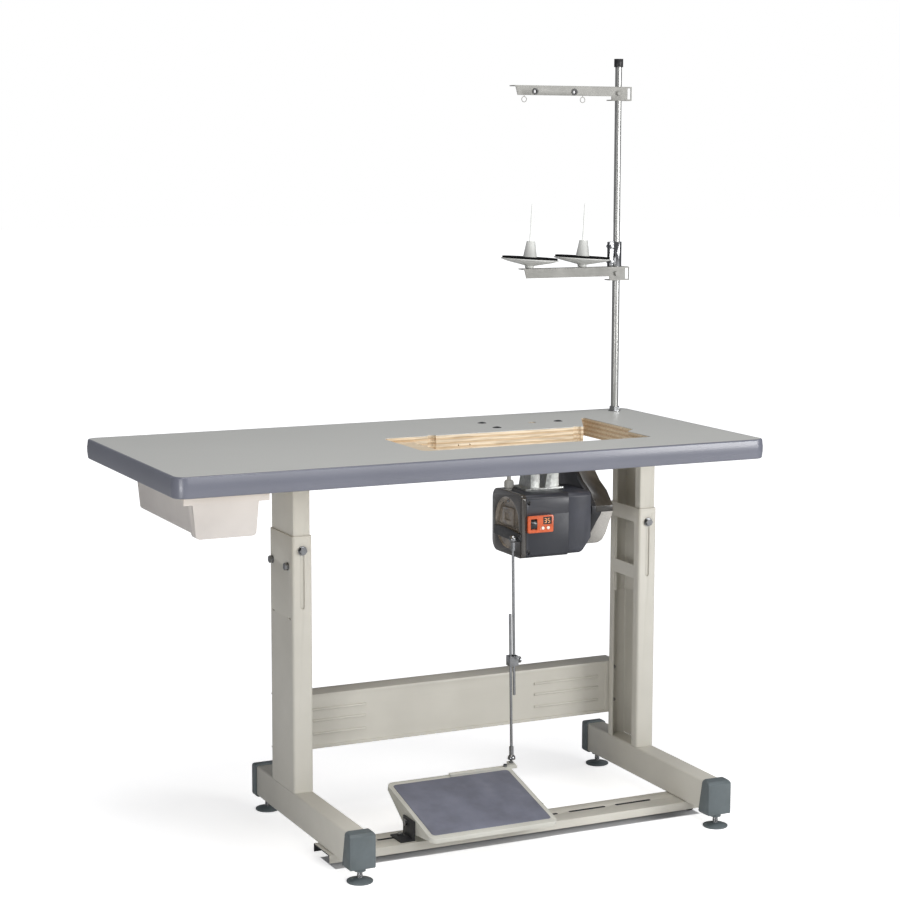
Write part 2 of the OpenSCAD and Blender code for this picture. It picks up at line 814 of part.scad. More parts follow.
// Places treadle pieces: origin on the pivot axis, y toward the heel side
module on_treadle() {
    translate([0, treadle_y, treadle_z]) rotate([treadle_tilt, 0, 0]) children();
}

// Angle bracket: side 0 is the left one, its foot reaches away from the treadle
module treadle_bracket(i) {
    foot = i == 0 ? -bracket_foot + bracket_t : 0;
    bracket_l = bracket_y[1] - bracket_y[0];
    translate([bracket_x[i], treadle_y, beam_z]) difference() {
        translate([0, bracket_y[0], 0]) {
            translate([foot, 0, 0]) cube([bracket_foot, bracket_l, bracket_t]);
            cube([bracket_t, bracket_l, treadle_z - beam_z + bracket_rise]);
        }
        translate([-1, 0, treadle_z - beam_z]) rotate([0, 90, 0])
            cylinder(d = pivot_d, h = bracket_t + 2);
        translate([bracket_bolt_x[i] - bracket_x[i], 0, -1])
            cylinder(d = 6, h = bracket_t + 2);
    }
}

module treadle_brackets() {
    color(black) for (i = [0, 1]) treadle_bracket(i);
}

// Shoulder bolts: fast in the brackets, running in the treadle's side plates
module treadle_pivots() {
    head = 4;
    inner = 1 + treadle_t + 1.5;
    color(zinc) for (i = [0, 1]) mirror([i, 0, 0])
        translate([i == 0 ? bracket_x[0] : -bracket_x[1] - bracket_t, treadle_y, treadle_z])
            rotate([0, 90, 0]) {
                translate([0, 0, -head]) cylinder(d = 14, h = head);
                rod(pivot_d, bracket_t + inner);
            }
}

treadle_r = 14;
treadle_rim = 10;
toe_border = 13;
heel_border = 11;
treadle_w = treadle_x1 - treadle_x0;
treadle_l = treadle_front + treadle_back;
mat_w = treadle_w - 2 * treadle_border;
mat_l = treadle_l - toe_border - heel_border;
mat_r = 8;

// Side plate outline in the treadle's own y, z
module treadle_side() {
    low = -16;
    difference() {
        polygon([[-treadle_front + treadle_r, treadle_rise],
            [-treadle_front + treadle_r, treadle_rise - treadle_rim], [-14, low], [14, low],
            [treadle_back - treadle_r, treadle_rise - treadle_rim],
            [treadle_back - treadle_r, treadle_rise]]);
        circle(d = pivot_d + 2 * bore_gap);
    }
}

// Places outlines on the treadle's face: origin at the middle of the frame
module on_face(z) {
    on_treadle() translate([(treadle_x0 + treadle_x1) / 2,
        (treadle_back - treadle_front) / 2, treadle_rise + z]) children();
}

// Places the mat's outline between its toe and heel borders
module mat_place() {
    translate([0, (toe_border - heel_border) / 2, 0]) children();
}

module treadle_frame() {
    well = mat_t + treadle_t;
    color("#D3D1C8") {
        on_treadle() for (x = [treadle_x0, treadle_x1 - treadle_t]) translate([x, 0, 0])
            rotate([90, 0, 90]) linear_extrude(treadle_t) treadle_side();
        difference() {
            on_face(-treadle_rim) linear_extrude(treadle_rim)
                round_rect(treadle_w, treadle_l, treadle_r);
            on_face(-treadle_rim - 1) linear_extrude(treadle_rim - well + 1)
                round_rect(treadle_w - 2 * treadle_t, treadle_l - 2 * treadle_t,
                    treadle_r - treadle_t);
            on_face(-mat_t) mat_place() linear_extrude(mat_t + 1)
                round_rect(mat_w, mat_l, mat_r);
            on_treadle() translate([lever_bolt_x, lever_bar_y, treadle_rise - well - 1])
                cylinder(d = lever_bolt_d, h = well + 2);
        }
    }
}

module treadle_mat() {
    proud = 0.8;
    color("#6F727E") on_face(-mat_t) mat_place() linear_extrude(mat_t + proud)
        round_rect(mat_w, mat_l, mat_r);
}

lever_bar_y = treadle_back - 6;
lever_bar_t = 5;
lever_bar_w = 9;
lever_bar_x0 = 47;
lever_bolt_x = 170;
lever_bolt_d = 4;
// Heel-side ball centre in the treadle's own frame
ball_dy = pitman_y - treadle_y;
ball_dz = ball_z - treadle_z;
ball_v = ball_dy * cos(treadle_tilt) + ball_dz * sin(treadle_tilt);
ball_n = ball_dz * cos(treadle_tilt) - ball_dy * sin(treadle_tilt);

module lever_bar() {
    pad = 13;
    y0 = lever_bar_y - lever_bar_w / 2;
    color("#D3D1C8") on_treadle() difference() {
        union() {
            translate([lever_bar_x0, y0, treadle_rise])
                cube([pitman_x - lever_bar_x0, lever_bar_w, lever_bar_t]);
            translate([pitman_x - pad / 2, y0, treadle_rise])
                cube([pad, ball_v + pad / 2 - y0, lever_bar_t]);
        }
        translate([lever_bolt_x, lever_bar_y, treadle_rise - 1])
            cylinder(d = lever_bolt_d, h = lever_bar_t + 2);
        translate([pitman_x, ball_v, treadle_rise - 1]) cylinder(d = 5, h = lever_bar_t + 2);
    }
}

// Ball stud with its nut, and the bolt of the lever bar
module ball_stud() {
    seat = treadle_rise + lever_bar_t;
    well = mat_t + treadle_t;
    color(zinc) on_treadle() {
        translate([pitman_x, ball_v, 0]) {
            translate([0, 0, ball_n]) sphere(d = ball_d);
            translate([0, 0, treadle_rise - 7]) rod(5, ball_n - treadle_rise + 7);
            translate([0, 0, seat]) cylinder(d = 8, h = 1.5);
            translate([0, 0, treadle_rise - 5]) hex(8, 5);
        }
        translate([lever_bolt_x, lever_bar_y, 0]) {
            translate([0, 0, seat]) hex(8, 4);
            translate([0, 0, treadle_rise - well - 4])
                rod(lever_bolt_d, seat - treadle_rise + well + 4 + eps);
        }
    }
}

// ---------------------------------------------------------------------- pitman

// Both rods lean by this much, so that the second one passes beside the first
rod_lean = asin(rod_gap / (lever_ball_z - ball_z));
// Room for the lean as the table comes down
lean_room = height_travel * tan(rod_lean);

// Places pieces of the pitman: origin at a ball joint, z along the rods
module on_rods(z) {
    translate([pitman_x, pitman_y, z]) rotate([0, -rod_lean, 0]) children();
}

// Socket that grips a ball at the origin and opens toward -Z
module ball_socket() {
    cavity = ball_d + 2 * run_gap;
    shell = cavity + 5.5;
    difference() {
        union() {
            sphere(d = shell);
            hex(rod_d + 3.5, shell / 2 + 16);
        }
        sphere(d = cavity);
        translate([0, 0, -shell]) cylinder(d = shell + 2, h = shell - 2.4);
    }
}

module lower_rod() {
    color(zinc) on_rods(ball_z) {
        ball_socket();
        translate([0, 0, ball_d / 2 + 2.5]) rod(rod_d, lower_rod_len - ball_d / 2 - 2.5);
    }
}

// Block that grips the lower rod; the upper rod runs through it with swing room
module rod_clamp() {
    block_h = 20;
    wall = 3;
    pass_w = rod_d + 2 * run_gap;
    pass_x0 = rod_gap - pass_w / 2 - lean_room;
    pass_x1 = rod_gap + pass_w / 2;
    color(zinc) on_rods(ball_z) translate([0, 0, clamp_z - ball_z - block_h / 2])
        difference() {
            translate([-rod_d / 2 - wall, -clamp_swing - pass_w / 2 - wall, 0])
                cube([pass_x1 + rod_d / 2 + 2 * wall, 2 * (clamp_swing + wall) + pass_w,
                    block_h]);
            translate([0, 0, -1]) cylinder(d = rod_d, h = block_h + 2);
            translate([pass_x0, -clamp_swing - pass_w / 2, -1])
                cube([pass_x1 - pass_x0, 2 * clamp_swing + pass_w, block_h + 2]);
            translate([pass_x1 - 1, 0, block_h / 2]) rotate([0, 90, 0])
                cylinder(d = clamp_bolt_d, h = wall + 2);
        }
}

clamp_bolt_d = 5;

// Thumbscrew in the clamp, backed off by the running gap from the upper rod
module clamp_screw() {
    tip_x = rod_gap + rod_d / 2 + run_gap + 0.1;
    face_x = rod_gap + rod_d / 2 + run_gap + 3;
    color(zinc) on_rods(ball_z) translate([0, 0, clamp_z - ball_z]) rotate([0, 90, 0]) {
        translate([0, 0, tip_x]) rod(clamp_bolt_d, face_x - tip_x + 1);
        translate([0, 0, face_x]) hex(8, 3);
        translate([0, 0, face_x + 3 - eps]) cylinder(d = 13, h = 5);
    }
}

module upper_rod() {
    cavity = ball_d + 2 * run_gap;
    color(zinc) on_rods(lever_ball_z) {
        difference() {
            union() {
                sphere(d = cavity + 5.5);
                mirror([0, 0, 1]) hex(rod_d + 3, cavity / 2 + 18);
            }
            sphere(d = cavity);
            translate([2.4, -15, -15]) cube(30);
        }
        translate([0, 0, -upper_rod_len]) rod(rod_d, upper_rod_len - cavity / 2 - 1);
    }
}

// ----------------------------------------------------------------------- motor

motor_y0 = motor_y - motor_d / 2;
motor_top = motor_z + motor_h / 2;
lever_pivot_y = pitman_y + 56;
lever_pivot_z = lever_ball_z + 4;
lever_t = 3.5;
lever_gap = 1;
lever_pin_d = 8;
lever_pin_l = 9;
lever_tail = 46;
lever_nose = 12;
lever_x = motor_x0 - lever_gap - lever_t;

// Lever on the motor's left face, with its pivot pin, ball stud and nose bolt
module motor_lever() {
    half = 9;
    color(black) {
        translate([lever_x, 0, 0]) rotate([90, 0, 90]) linear_extrude(lever_t)
            polygon([[lever_pivot_y + lever_tail, lever_pivot_z - half],
                [lever_pivot_y + lever_tail, lever_pivot_z + half],
                [lever_pivot_y, lever_pivot_z + half + 2],
                [pitman_y - lever_nose, lever_ball_z + 9],
                [pitman_y - lever_nose - 5, lever_ball_z + 3],
                [pitman_y - lever_nose, lever_ball_z - 5],
                [pitman_y, lever_ball_z - 7],
                [lever_pivot_y, lever_pivot_z - half - 2]]);
        translate([lever_x, lever_pivot_y, lever_pivot_z]) rotate([0, 90, 0])
            rod(lever_pin_d, lever_t + lever_gap + lever_pin_l);
        translate([lever_x + eps, pitman_y - lever_nose, lever_ball_z + 2])
            rotate([0, -90, 0]) hex(6, 3);
        translate([pitman_x, pitman_y, lever_ball_z]) {
            sphere(d = ball_d);
            rotate([0, 90, 0]) rod(5, lever_x - pitman_x + 1);
        }
    }
}

// Outline of the motor body, with rounder corners at the back
module motor_outline(d, h) {
    intersection() {
        round_rect(d, h, motor_r);
        translate([-20, 0]) round_rect(d + 40, h, motor_back_r);
    }
}

// Places motor sections: origin on the shaft axis, extruded along +X from x
module motor_section(x, l) {
    translate([x, motor_y, motor_z]) rotate([90, 0, 90]) linear_extrude(l) children();
}

// Screw pocket in the front face
module face_pocket(x, z) {
    translate([x, motor_y0 - 1, z]) rotate([-90, 0, 0]) cylinder(d = 6, h = 5);
}

module motor_shell() {
    color(motor_paint) difference() {
        motor_section(motor_x0 + end_cap_l, shell_x1 - motor_x0 - end_cap_l)
            motor_outline(motor_d, motor_h);
        translate([motor_x0, motor_y, motor_z]) rotate([0, 90, 0])
            cylinder(d = stator_d, h = shell_x1 - motor_x0 + 1);
        translate([motor_x0, motor_y0 - 1, cover_z])
            cube([shell_x1 - motor_x0 + 1, cover_t + 1, cover_h]);
        face_pocket(motor_x0 + end_cap_l + 5, motor_z - 53);
    }
}

dish_r = 52;
dish_depth = 3;
arch_depth = 8;

// Window outline with an arched top, in the motor section's y, z
module arch_outline() {
    arch_r = dish_r - dish_depth - 4;
    intersection() {
        circle(arch_r);
        translate([-arch_r, -9]) square([2 * arch_r, 2 * arch_r]);
    }
}

// Left end cap: shallow round dish, arched window with a slotted boss, lever bore,
// and a hub with the bearing seat
module motor_end_cap() {
    boss_w = 48;
    boss_h = 34;
    hub_l = bearing_xs[0] + bearing_l - motor_x0 - end_cap_l;
    color(black) difference() {
        union() {
            difference() {
                motor_section(motor_x0, end_cap_l) motor_outline(motor_d, motor_h);
                translate([motor_x0 - eps, motor_y, motor_z]) rotate([0, 90, 0])
                    cylinder(r1 = dish_r, r2 = dish_r - dish_depth, h = dish_depth);
                motor_section(motor_x0, arch_depth) arch_outline();
            }
            translate([motor_x0 + 2, motor_y - boss_w / 2, motor_z - 4])
                cube([arch_depth, boss_w, boss_h]);
            translate([motor_x0 + end_cap_l - eps, motor_y, motor_z]) rotate([0, 90, 0])
                cylinder(d = bearing_d + 12, h = hub_l);
        }
        translate([motor_x0 - 1, motor_y - 15, motor_z + 4]) cube([8, 30, 16]);
        translate([bearing_xs[0], motor_y, motor_z]) rotate([0, 90, 0])
            cylinder(d = bearing_d, h = bearing_l + 1);
        translate([motor_x0 - 1, lever_pivot_y, lever_pivot_z]) rotate([0, 90, 0])
            cylinder(d = lever_pin_d + 2 * bore_gap, h = lever_pin_l + 2);
    }
}

cover_z = motor_z + 23;
cover_t = 3;
cover_h = motor_h / 2 - motor_r - 23;

// Lighter cover plate let into the front of the shell
module motor_top_cover() {
    color("#5A5A5E") difference() {
        translate([motor_x0 + end_cap_l, motor_y0, cover_z])
            cube([shell_x1 - motor_x0 - end_cap_l, cover_t, cover_h]);
        face_pocket(motor_x0 + end_cap_l + 5, motor_z + 46);
    }
}

module motor_end_bell() {
    l = bell_x1 - shell_x1;
    bearing_end = bearing_xs[1] + bearing_l;
    bell_z0 = motor_z - motor_h / 2;
    cut = [24, 34];
    color("#3A3C44") difference() {
        motor_section(shell_x1, l) motor_outline(motor_d - 3, motor_h - 4);
        translate([0, motor_y0 + motor_d, 0]) rotate([90, 0, 0]) linear_extrude(motor_d)
            polygon([[bell_x1 - cut[0], bell_z0], [bell_x1 + 1, bell_z0],
                [bell_x1 + 1, bell_z0 + cut[1]]]);
        translate([shell_x1 - 1, motor_y, motor_z]) rotate([0, 90, 0])
            cylinder(d = stator_d - 8, h = 18);
        translate([shell_x1, motor_y, motor_z]) rotate([0, 90, 0])
            cylinder(d = bearing_d, h = bearing_end - shell_x1);
        translate([shell_x1, motor_y, motor_z]) rotate([0, 90, 0])
            cylinder(d = shaft_d + 2, h = l + 1);
    }
}

stator_l = 62;
stator_x = motor_x0 + 28;
rotor_d = 64;

module stator() {
    slots = 12;
    color("#B87333") difference() {
        translate([stator_x, motor_y, motor_z]) rotate([0, 90, 0])
            cylinder(d = stator_d, h = stator_l);
        translate([stator_x - 1, motor_y, motor_z]) rotate([0, 90, 0])
            cylinder(d = rotor_d + 2, h = stator_l + 2);
        for (i = [0 : slots - 1]) translate([stator_x - 1, motor_y, motor_z])
            rotate([i * 360 / slots, 0, 0]) translate([0, rotor_d / 2 + 6, -3])
                cube([stator_l + 2, 12, 6]);
    }
}

bearing_l = 9;
bearing_xs = [motor_x0 + 11.5, shell_x1 + 18];

module motor_bearings() {
    color(zinc) for (x = bearing_xs) translate([x, motor_y, motor_z]) rotate([0, 90, 0])
        difference() {
            cylinder(d = bearing_d, h = bearing_l);
            translate([0, 0, -1]) cylinder(d = shaft_d + 2 * bore_gap, h = bearing_l + 2);
        }
}

pulley_x = bell_x1 + 17;
pulley_l = 20;

module rotor_shaft() {
    color(zinc) translate([bearing_xs[0] + 0.5, motor_y, motor_z]) rotate([0, 90, 0]) {
        cylinder(d = shaft_d, h = pulley_x + pulley_l + 4 - bearing_xs[0] - 0.5);
        translate([0, 0, stator_x + 3 - bearing_xs[0]]) cylinder(d = rotor_d, h = stator_l - 6);
    }
}

module motor_pulley() {
    groove = 7;
    color("#3B3C3E") translate([pulley_x, motor_y, motor_z]) rotate([0, 90, 0])
        rotate_extrude() polygon([[shaft_d / 2, 0], [pulley_d / 2, 0], [pulley_d / 2, 3],
            [pulley_d / 2 - groove, 7], [pulley_d / 2 - groove, pulley_l - 8],
            [pulley_d / 2, pulley_l - 4], [pulley_d / 2, pulley_l], [shaft_d / 2, pulley_l]]);
}

// Pulley guard outlines in the motor section's y, z; the halves meet at the split
guard_split = 19;
guard_front = 64;
guard_back = 100;
guard_top = under_z - motor_z - 18;
guard_top_y = 57;
guard_bottom = 60;

module guard_outline_upper() {
    polygon([[-guard_front, guard_split], [-guard_front, guard_split + 12],
        [-guard_front + 26, guard_split + 39], [-guard_front + 55, guard_split + 55],
        [guard_top_y, guard_top], [guard_back, guard_top], [guard_back, guard_split]]);
}

module guard_outline_lower() {
    polygon([[-guard_front, guard_split], [-guard_front + 5, 9], [-50, -5], [-42, -20],
        [-34, -33], [-20, -48], [-4, -guard_bottom + 4], [12, -guard_bottom], [56, -46],
        [guard_back, guard_split - 26], [guard_back, guard_split]]);
}

// Wall of an upper or lower outline, left open where the halves meet and at the top
module guard_wall_upper() {
    difference() {
        guard_outline_upper();
        offset(delta = -guard_t) guard_outline_upper();
        translate([-guard_front + guard_t, guard_split - 1])
            square([guard_front + guard_back - 2 * guard_t, guard_t + 2]);
        translate([guard_top_y + 3, guard_top - guard_t - 1])
            square([guard_back - guard_t - guard_top_y - 3, guard_t + 2]);
    }
}

module guard_wall_lower() {
    difference() {
        guard_outline_lower();
        offset(delta = -guard_t) guard_outline_lower();
        translate([-guard_front + guard_t, guard_split - guard_t - 1])
            square([guard_front + guard_back - 2 * guard_t, guard_t + 2]);
    }
}

guard_x0 = bell_x1 + 2;
cover_x0 = bell_x1 + 12;

// Black half's share of the lower rim: deep at the split, shallow at the bottom
module lower_rim_share() {
    shallow = 5;
    deep = 13;
    translate([0, motor_y + guard_back + 1, motor_z]) rotate([90, 0, 0])
        linear_extrude(guard_front + guard_back + 2)
            polygon([[guard_x0 - 1, -guard_bottom - 1], [cover_x0 - shallow, -guard_bottom - 1],
                [cover_x0 + deep, guard_split + 1], [guard_x0 - 1, guard_split + 1]]);
}

// Black half: flat back wall on the motor's end, and a short rim
module guard_backplate() {
    color(black) difference() {
        union() {
            motor_section(guard_x0, guard_t) {
                guard_outline_upper();
                guard_outline_lower();
            }
            motor_section(guard_x0, cover_x0 - guard_x0) guard_wall_upper();
            intersection() {
                motor_section(guard_x0, guard_x1 - guard_x0) guard_wall_lower();
                lower_rim_share();
            }
            translate([bell_x1, motor_y, motor_z]) rotate([0, 90, 0])
                cylinder(d = 46, h = guard_x0 - bell_x1 + eps);
        }
        translate([bell_x1 - 1, motor_y, motor_z]) rotate([0, 90, 0])
            cylinder(d = shaft_d + 6, h = guard_x0 + guard_t - bell_x1 + 2);
    }
}

module guard_upper() {
    color(guard_beige) {
        motor_section(cover_x0, guard_x1 - cover_x0) guard_wall_upper();
        motor_section(guard_x1 - guard_t, guard_t) guard_outline_upper();
    }
}

// Lower half, parted from the upper one by a narrow line
module guard_lower() {
    part_line = 0.4;
    color("#C5C2BC") difference() {
        union() {
            difference() {
                motor_section(guard_x0, guard_x1 - guard_x0) guard_wall_lower();
                lower_rim_share();
            }
            motor_section(guard_x1 - guard_t, guard_t) guard_outline_lower();
        }
        translate([guard_x0, motor_y - guard_front - 1, motor_z + guard_split - part_line])
            cube([guard_x1 - guard_x0 + 1, guard_front + guard_back + 2, 2]);
    }
}

// Channel arm of the motor bracket: x limits at its foot and at its head, open at the
// back; its side walls are deeper at the foot
module bracket_arm(foot, head) {
    wall = 3;
    foot_d = 55;
    head_d = 30;
    base = 4;
    rise = upper_top - motor_top + eps;
    difference() {
        intersection() {
            translate([0, foot_d, 0]) rotate([90, 0, 0]) linear_extrude(foot_d)
                polygon([[foot[0], 0], [foot[1], 0], [head[1], rise], [head[0], rise]]);
            translate([foot[0], 0, 0]) rotate([90, 0, 90]) linear_extrude(foot[1] - foot[0])
                polygon([[0, 0], [foot_d, 0], [head_d, rise], [0, rise]]);
        }
        translate([0, foot_d + 1, 0]) rotate([90, 0, 0]) linear_extrude(foot_d + 1 - wall)
            polygon([[foot[0] + wall, base], [foot[1] - wall, base],
                [head[1] - wall, rise + 1], [head[0] + wall, rise + 1]]);
    }
}

// Under-table bracket: plate, two channel arms and the motor's saddle
module motor_bracket() {
    plate_x0 = mounts_xy[1][0] - 12;
    plate_x1 = mounts_xy[2][0] + 15;
    plate_y0 = cut_y1 + 2;
    plate_y1 = mounts_xy[0][1] + 19;
    saddle_t = 4;
    arms = [[[46, 66], [46, 66]], [[78, 110], [92, 108]]];
    color("#B5B6B2") {
        difference() {
            translate([plate_x0, plate_y0, upper_top])
                cube([plate_x1 - plate_x0, plate_y1 - plate_y0, plate_t]);
            for (p = mounts_xy) translate([p[0], p[1], upper_top - 1])
                cylinder(d = mount_d, h = plate_t + 2);
        }
        translate([motor_x0, plate_y0, motor_top]) {
            for (a = arms) bracket_arm(a[0], a[1]);
            translate([arms[0][0][0] - 14, -4, 0])
                cube([arms[1][0][1] - arms[0][0][0] + 22, 63, saddle_t]);
        }
    }
}

// Carriage bolts down through the table top, with nuts under the bracket's plate
module motor_mount_bolts() {
    head_d = 19;
    nut_h = 6;
    shank = table_t + plate_t + nut_h + 3;
    color(black) for (p = mounts_xy) translate([p[0], p[1], table_h]) {
        dome_screw(8, shank, head_d, 2.2);
        translate([0, 0, -table_t - plate_t - nut_h]) hex(13, nut_h);
    }
}

// Tension adjuster on the motor's top: round knob on the tension rod
module tension_knob() {
    knob_d = 19;
    knob_h = 18;
    base_h = 3;
    color("#A9A8A2") translate([motor_x0 + 9, motor_y + 10, motor_top]) {
        cylinder(d = 13, h = base_h);
        translate([0, 0, base_h - eps]) rotate_extrude() intersection() {
            translate([0, knob_h / 2]) round_rect(knob_d, knob_h, 5);
            square([knob_d, knob_h]);
        }
        translate([0, 0, base_h + knob_h - 1]) rod(8, upper_top - motor_top - base_h - knob_h + 1);
    }
}

// --------------------------------------------------------------- control panel

panel_x0 = 213;
panel_w = 57;
panel_h = 34;
panel_t = 5;
panel_z = motor_z - 12;
panel_y = motor_y0 - panel_t;
rocker_w = 14;
rocker_h = 22;
rocker_x = panel_x0 + 13.5;
button_d = 6;
button_xs = [panel_x0 + 33, panel_x0 + 45];
button_z = panel_z + 9;
button_travel = 0.8;
button_proud = 1.6;
pocket_d = panel_t - 1;
rocker_pin_d = 1.6;
rocker_pin_y = panel_y + 1.5;
display_x = panel_x0 + 34;
display_z = panel_z + 16;
display_w = 19;
display_h = 15;

module panel_pocket(x, z, w, h) {
    translate([x - w / 2 - run_gap, panel_y - 1, z - h / 2 - run_gap])
        cube([w + 2 * run_gap, pocket_d + 1, h + 2 * run_gap]);
}

// Rocker's pin, or its bore when grown by the running clearance
module rocker_pin(grow) {
    l = rocker_w + 2 + 2 * grow;
    translate([rocker_x - l / 2, rocker_pin_y, panel_z + panel_h / 2]) rotate([0, 90, 0])
        cylinder(d = rocker_pin_d + 2 * grow, h = l);
}

module control_panel() {
    color("#D8602A") difference() {
        translate([panel_x0 + panel_w / 2, panel_y + panel_t, panel_z + panel_h / 2])
            rotate([90, 0, 0]) linear_extrude(panel_t) round_rect(panel_w, panel_h, 3);
        panel_pocket(rocker_x, panel_z + panel_h / 2, rocker_w, rocker_h);
        rocker_pin(bore_gap);
        for (x = button_xs) translate([x, panel_y - 1, button_z]) rotate([-90, 0, 0])
            cylinder(d = button_d + 2 * run_gap, h = pocket_d + 1);
        translate([display_x, panel_y - 1, display_z]) cube([display_w, 1.8, display_h]);
    }
}

// Rocker: turns about a pin through its middle
module rocker_switch() {
    rocker_r = 16;
    color(black) rocker_pin(0);
    color(black) translate([rocker_x, panel_y + 1.6, panel_z + panel_h / 2])
        intersection() {
            translate([-rocker_w / 2, -3, -rocker_h / 2 + 0.5])
                cube([rocker_w, 4, rocker_h - 1]);
            translate([-rocker_w / 2, rocker_r - 2.4, 0]) rotate([0, 90, 0])
                cylinder(r = rocker_r, h = rocker_w);
        }
}

module panel_button(x) {
    rear = pocket_d - button_travel - run_gap;
    color("#E8E2D8") translate([x, panel_y + rear, button_z]) rotate([90, 0, 0])
        cylinder(d = button_d, h = rear + button_proud);
}

module speed_up_button() {
    panel_button(button_xs[1]);
}

module speed_down_button() {
    panel_button(button_xs[0]);
}

// ---------------------------------------------------------------- thread stand

pole_seat = table_h;
pole_bore = pole_upper_d + 2 * bore_gap;
coupling_z = spool_arm_z + 0.6;
coupling_h = 52;
pole_split = coupling_z + 40;

module pole_lower() {
    color("#B4B4B0") {
        difference() {
            translate([pole_x, pole_y, pole_seat]) cylinder(d = pole_d, h = pole_split - pole_seat);
            translate([pole_x, pole_y, pole_seat + 60])
                cylinder(d = pole_bore, h = pole_split - pole_seat);
        }
        translate([pole_x, pole_y, under_z - 22]) rod(12, table_t + 22 + eps);
    }
}

module pole_upper() {
    start = pole_split - 110;
    color("#B4B4B0") translate([pole_x, pole_y, start])
        rod(pole_upper_d, pole_top - start - 1);
}

module pole_cap() {
    cap_h = 16;
    color(black) translate([pole_x, pole_y, pole_top - cap_h]) difference() {
        cylinder(d = 19, h = cap_h + 1);
        translate([0, 0, -1]) cylinder(d = pole_upper_d, h = cap_h);
    }
}

// Washer and hex nut on the table's face, and the nut below it
module pole_base_nut() {
    color(zinc) translate([pole_x, pole_y, 0]) difference() {
        union() {
            translate([0, 0, pole_seat]) cylinder(d = 26, h = 1.5);
            translate([0, 0, pole_seat + 1.5]) hex(21, 8);
            translate([0, 0, under_z - 2]) cylinder(d = 30, h = 2);
            translate([0, 0, under_z - 10]) hex(19, 8);
        }
        translate([0, 0, pole_seat - 1]) cylinder(d = pole_d, h = 20);
        translate([0, 0, under_z - 15]) cylinder(d = 12, h = 20);
    }
}

// Clamp that ties the lower pole to the upper one
module pole_coupling() {
    ear = 11.5;
    color(zinc) translate([pole_x, pole_y, coupling_z]) {
        difference() {
            union() {
                cylinder(d = pole_d + 6, h = coupling_h);
                translate([-pole_d / 2 - ear, -5, 0]) cube([ear, 10, coupling_h]);
            }
            translate([0, 0, -1]) cylinder(d = pole_d, h = pole_split - coupling_z + 1);
            cylinder(d = pole_upper_d + 2 * bore_gap, h = coupling_h + 1);
            translate([-pole_d / 2 - ear - 1, -1, -1]) cube([ear + 3, 2, coupling_h + 2]);
        }
        for (z = [10, coupling_h - 10]) translate([-pole_d / 2 - 7, -5, z]) rotate([90, 0, 0]) {
            hex(9, 4);
            translate([0, 0, -12]) cylinder(d = 5, h = 12);
            translate([0, 0, -15]) hex(8, 5);
        }
    }
}

// Sheet-metal arm: flange on top, web in front, and a deeper clamp end at the pole
module thread_arm(x0, bore) {
    clamp_w = 48;
    clamp_h = 29;
    clamp_x = pole_x - clamp_w / 2 + 2;
    y0 = pole_y - arm_d / 2;
    slant = 5;
    difference() {
        union() {
            translate([x0, y0, -arm_t]) cube([clamp_x + clamp_w - x0, arm_d, arm_t]);
            translate([0, y0 + arm_t, 0]) rotate([90, 0, 0]) linear_extrude(arm_t)
                polygon([[x0 + 3, -arm_t / 2], [x0 + 3 + slant, -arm_h],
                    [clamp_x, -arm_h], [clamp_x, -clamp_h], [clamp_x + clamp_w, -clamp_h],
                    [clamp_x + clamp_w, -arm_t / 2]]);
            translate([clamp_x, y0, -clamp_h]) cube([clamp_w, arm_d, arm_t]);
        }
        translate([clamp_x + clamp_w - 10, y0 - 1, 3 - clamp_h])
            cube([8, arm_t + 2, clamp_h - 6]);
        translate([pole_x, pole_y, -clamp_h - 1]) cylinder(d = bore, h = clamp_h + 2);
    }
}

// Hex bolt through the clamp end's web; its tip stops short of the pole
module arm_bolt() {
    translate([pole_x - 6, pole_y - arm_d / 2, -arm_h / 2 - 4]) rotate([90, 0, 0]) {
        hex(8, 4);
        translate([0, 0, 4 - eps]) cylinder(d = 10, h = 1.5);
    }
}

seat_xs = [for (reach = [208, 83]) pole_x - reach];
pin_len = 76;

// Places a spool seat: origin where its hub stands on the arm
module at_seat(i) {
    translate([seat_xs[i], pole_y, spool_arm_z]) rotate([0, seat_lean, 0]) children();
}

module spool_arm() {
    color(zinc) translate([0, 0, spool_arm_z]) {
        thread_arm(pole_x - spool_arm_l, pole_d + 2 * bore_gap);
        arm_bolt();
    }
}

dish_top = 20;
foam_t = 4;
cone_h = 33;
cone_r = 14.5;
pin_d = 6;

// Moulded dish and cone, one piece for each spool
module spool_dish() {
    r = dish_d / 2;
    bore_r = pin_d / 2 + bore_gap;
    hub_z = 0.6;
    rotate_extrude($fn = 64) polygon([[bore_r, hub_z], [9, hub_z], [10, 6], [r - 14, 13.5],
        [r, 18], [r, dish_top], [cone_r, dish_top], [cone_r, dish_top + foam_t],
        [9, dish_top + foam_t + cone_h], [bore_r, dish_top + foam_t + cone_h]]);
}

module spool_dishes() {
    color("#D5D6D2") for (i = [0, 1]) at_seat(i) spool_dish();
}

module spool_foams() {
    color("#141414") for (i = [0, 1]) at_seat(i) translate([0, 0, dish_top]) difference() {
        cylinder(d = dish_d - 5, h = foam_t, $fn = 64);
        translate([0, 0, -1]) cylinder(d = 2 * cone_r + 1, h = foam_t + 2);
    }
}

// Pins: shank through the cone, thicker and tapered above it
module spool_pins() {
    seat = dish_top + foam_t + cone_h;
    color("#E6E7E3") for (i = [0, 1]) at_seat(i) {
        translate([0, 0, 0.4]) rod(pin_d, seat);
        translate([0, 0, seat]) cylinder(d1 = pin_d + 2, d2 = pin_d, h = pin_len);
    }
}

ring_xs = [for (reach = [228, 91]) pole_x - reach];
ring_d = 11;
wire_d = 1.4;
grommet_xs = [for (reach = [203, 111]) pole_x - reach];
grommet_z = -12.5;

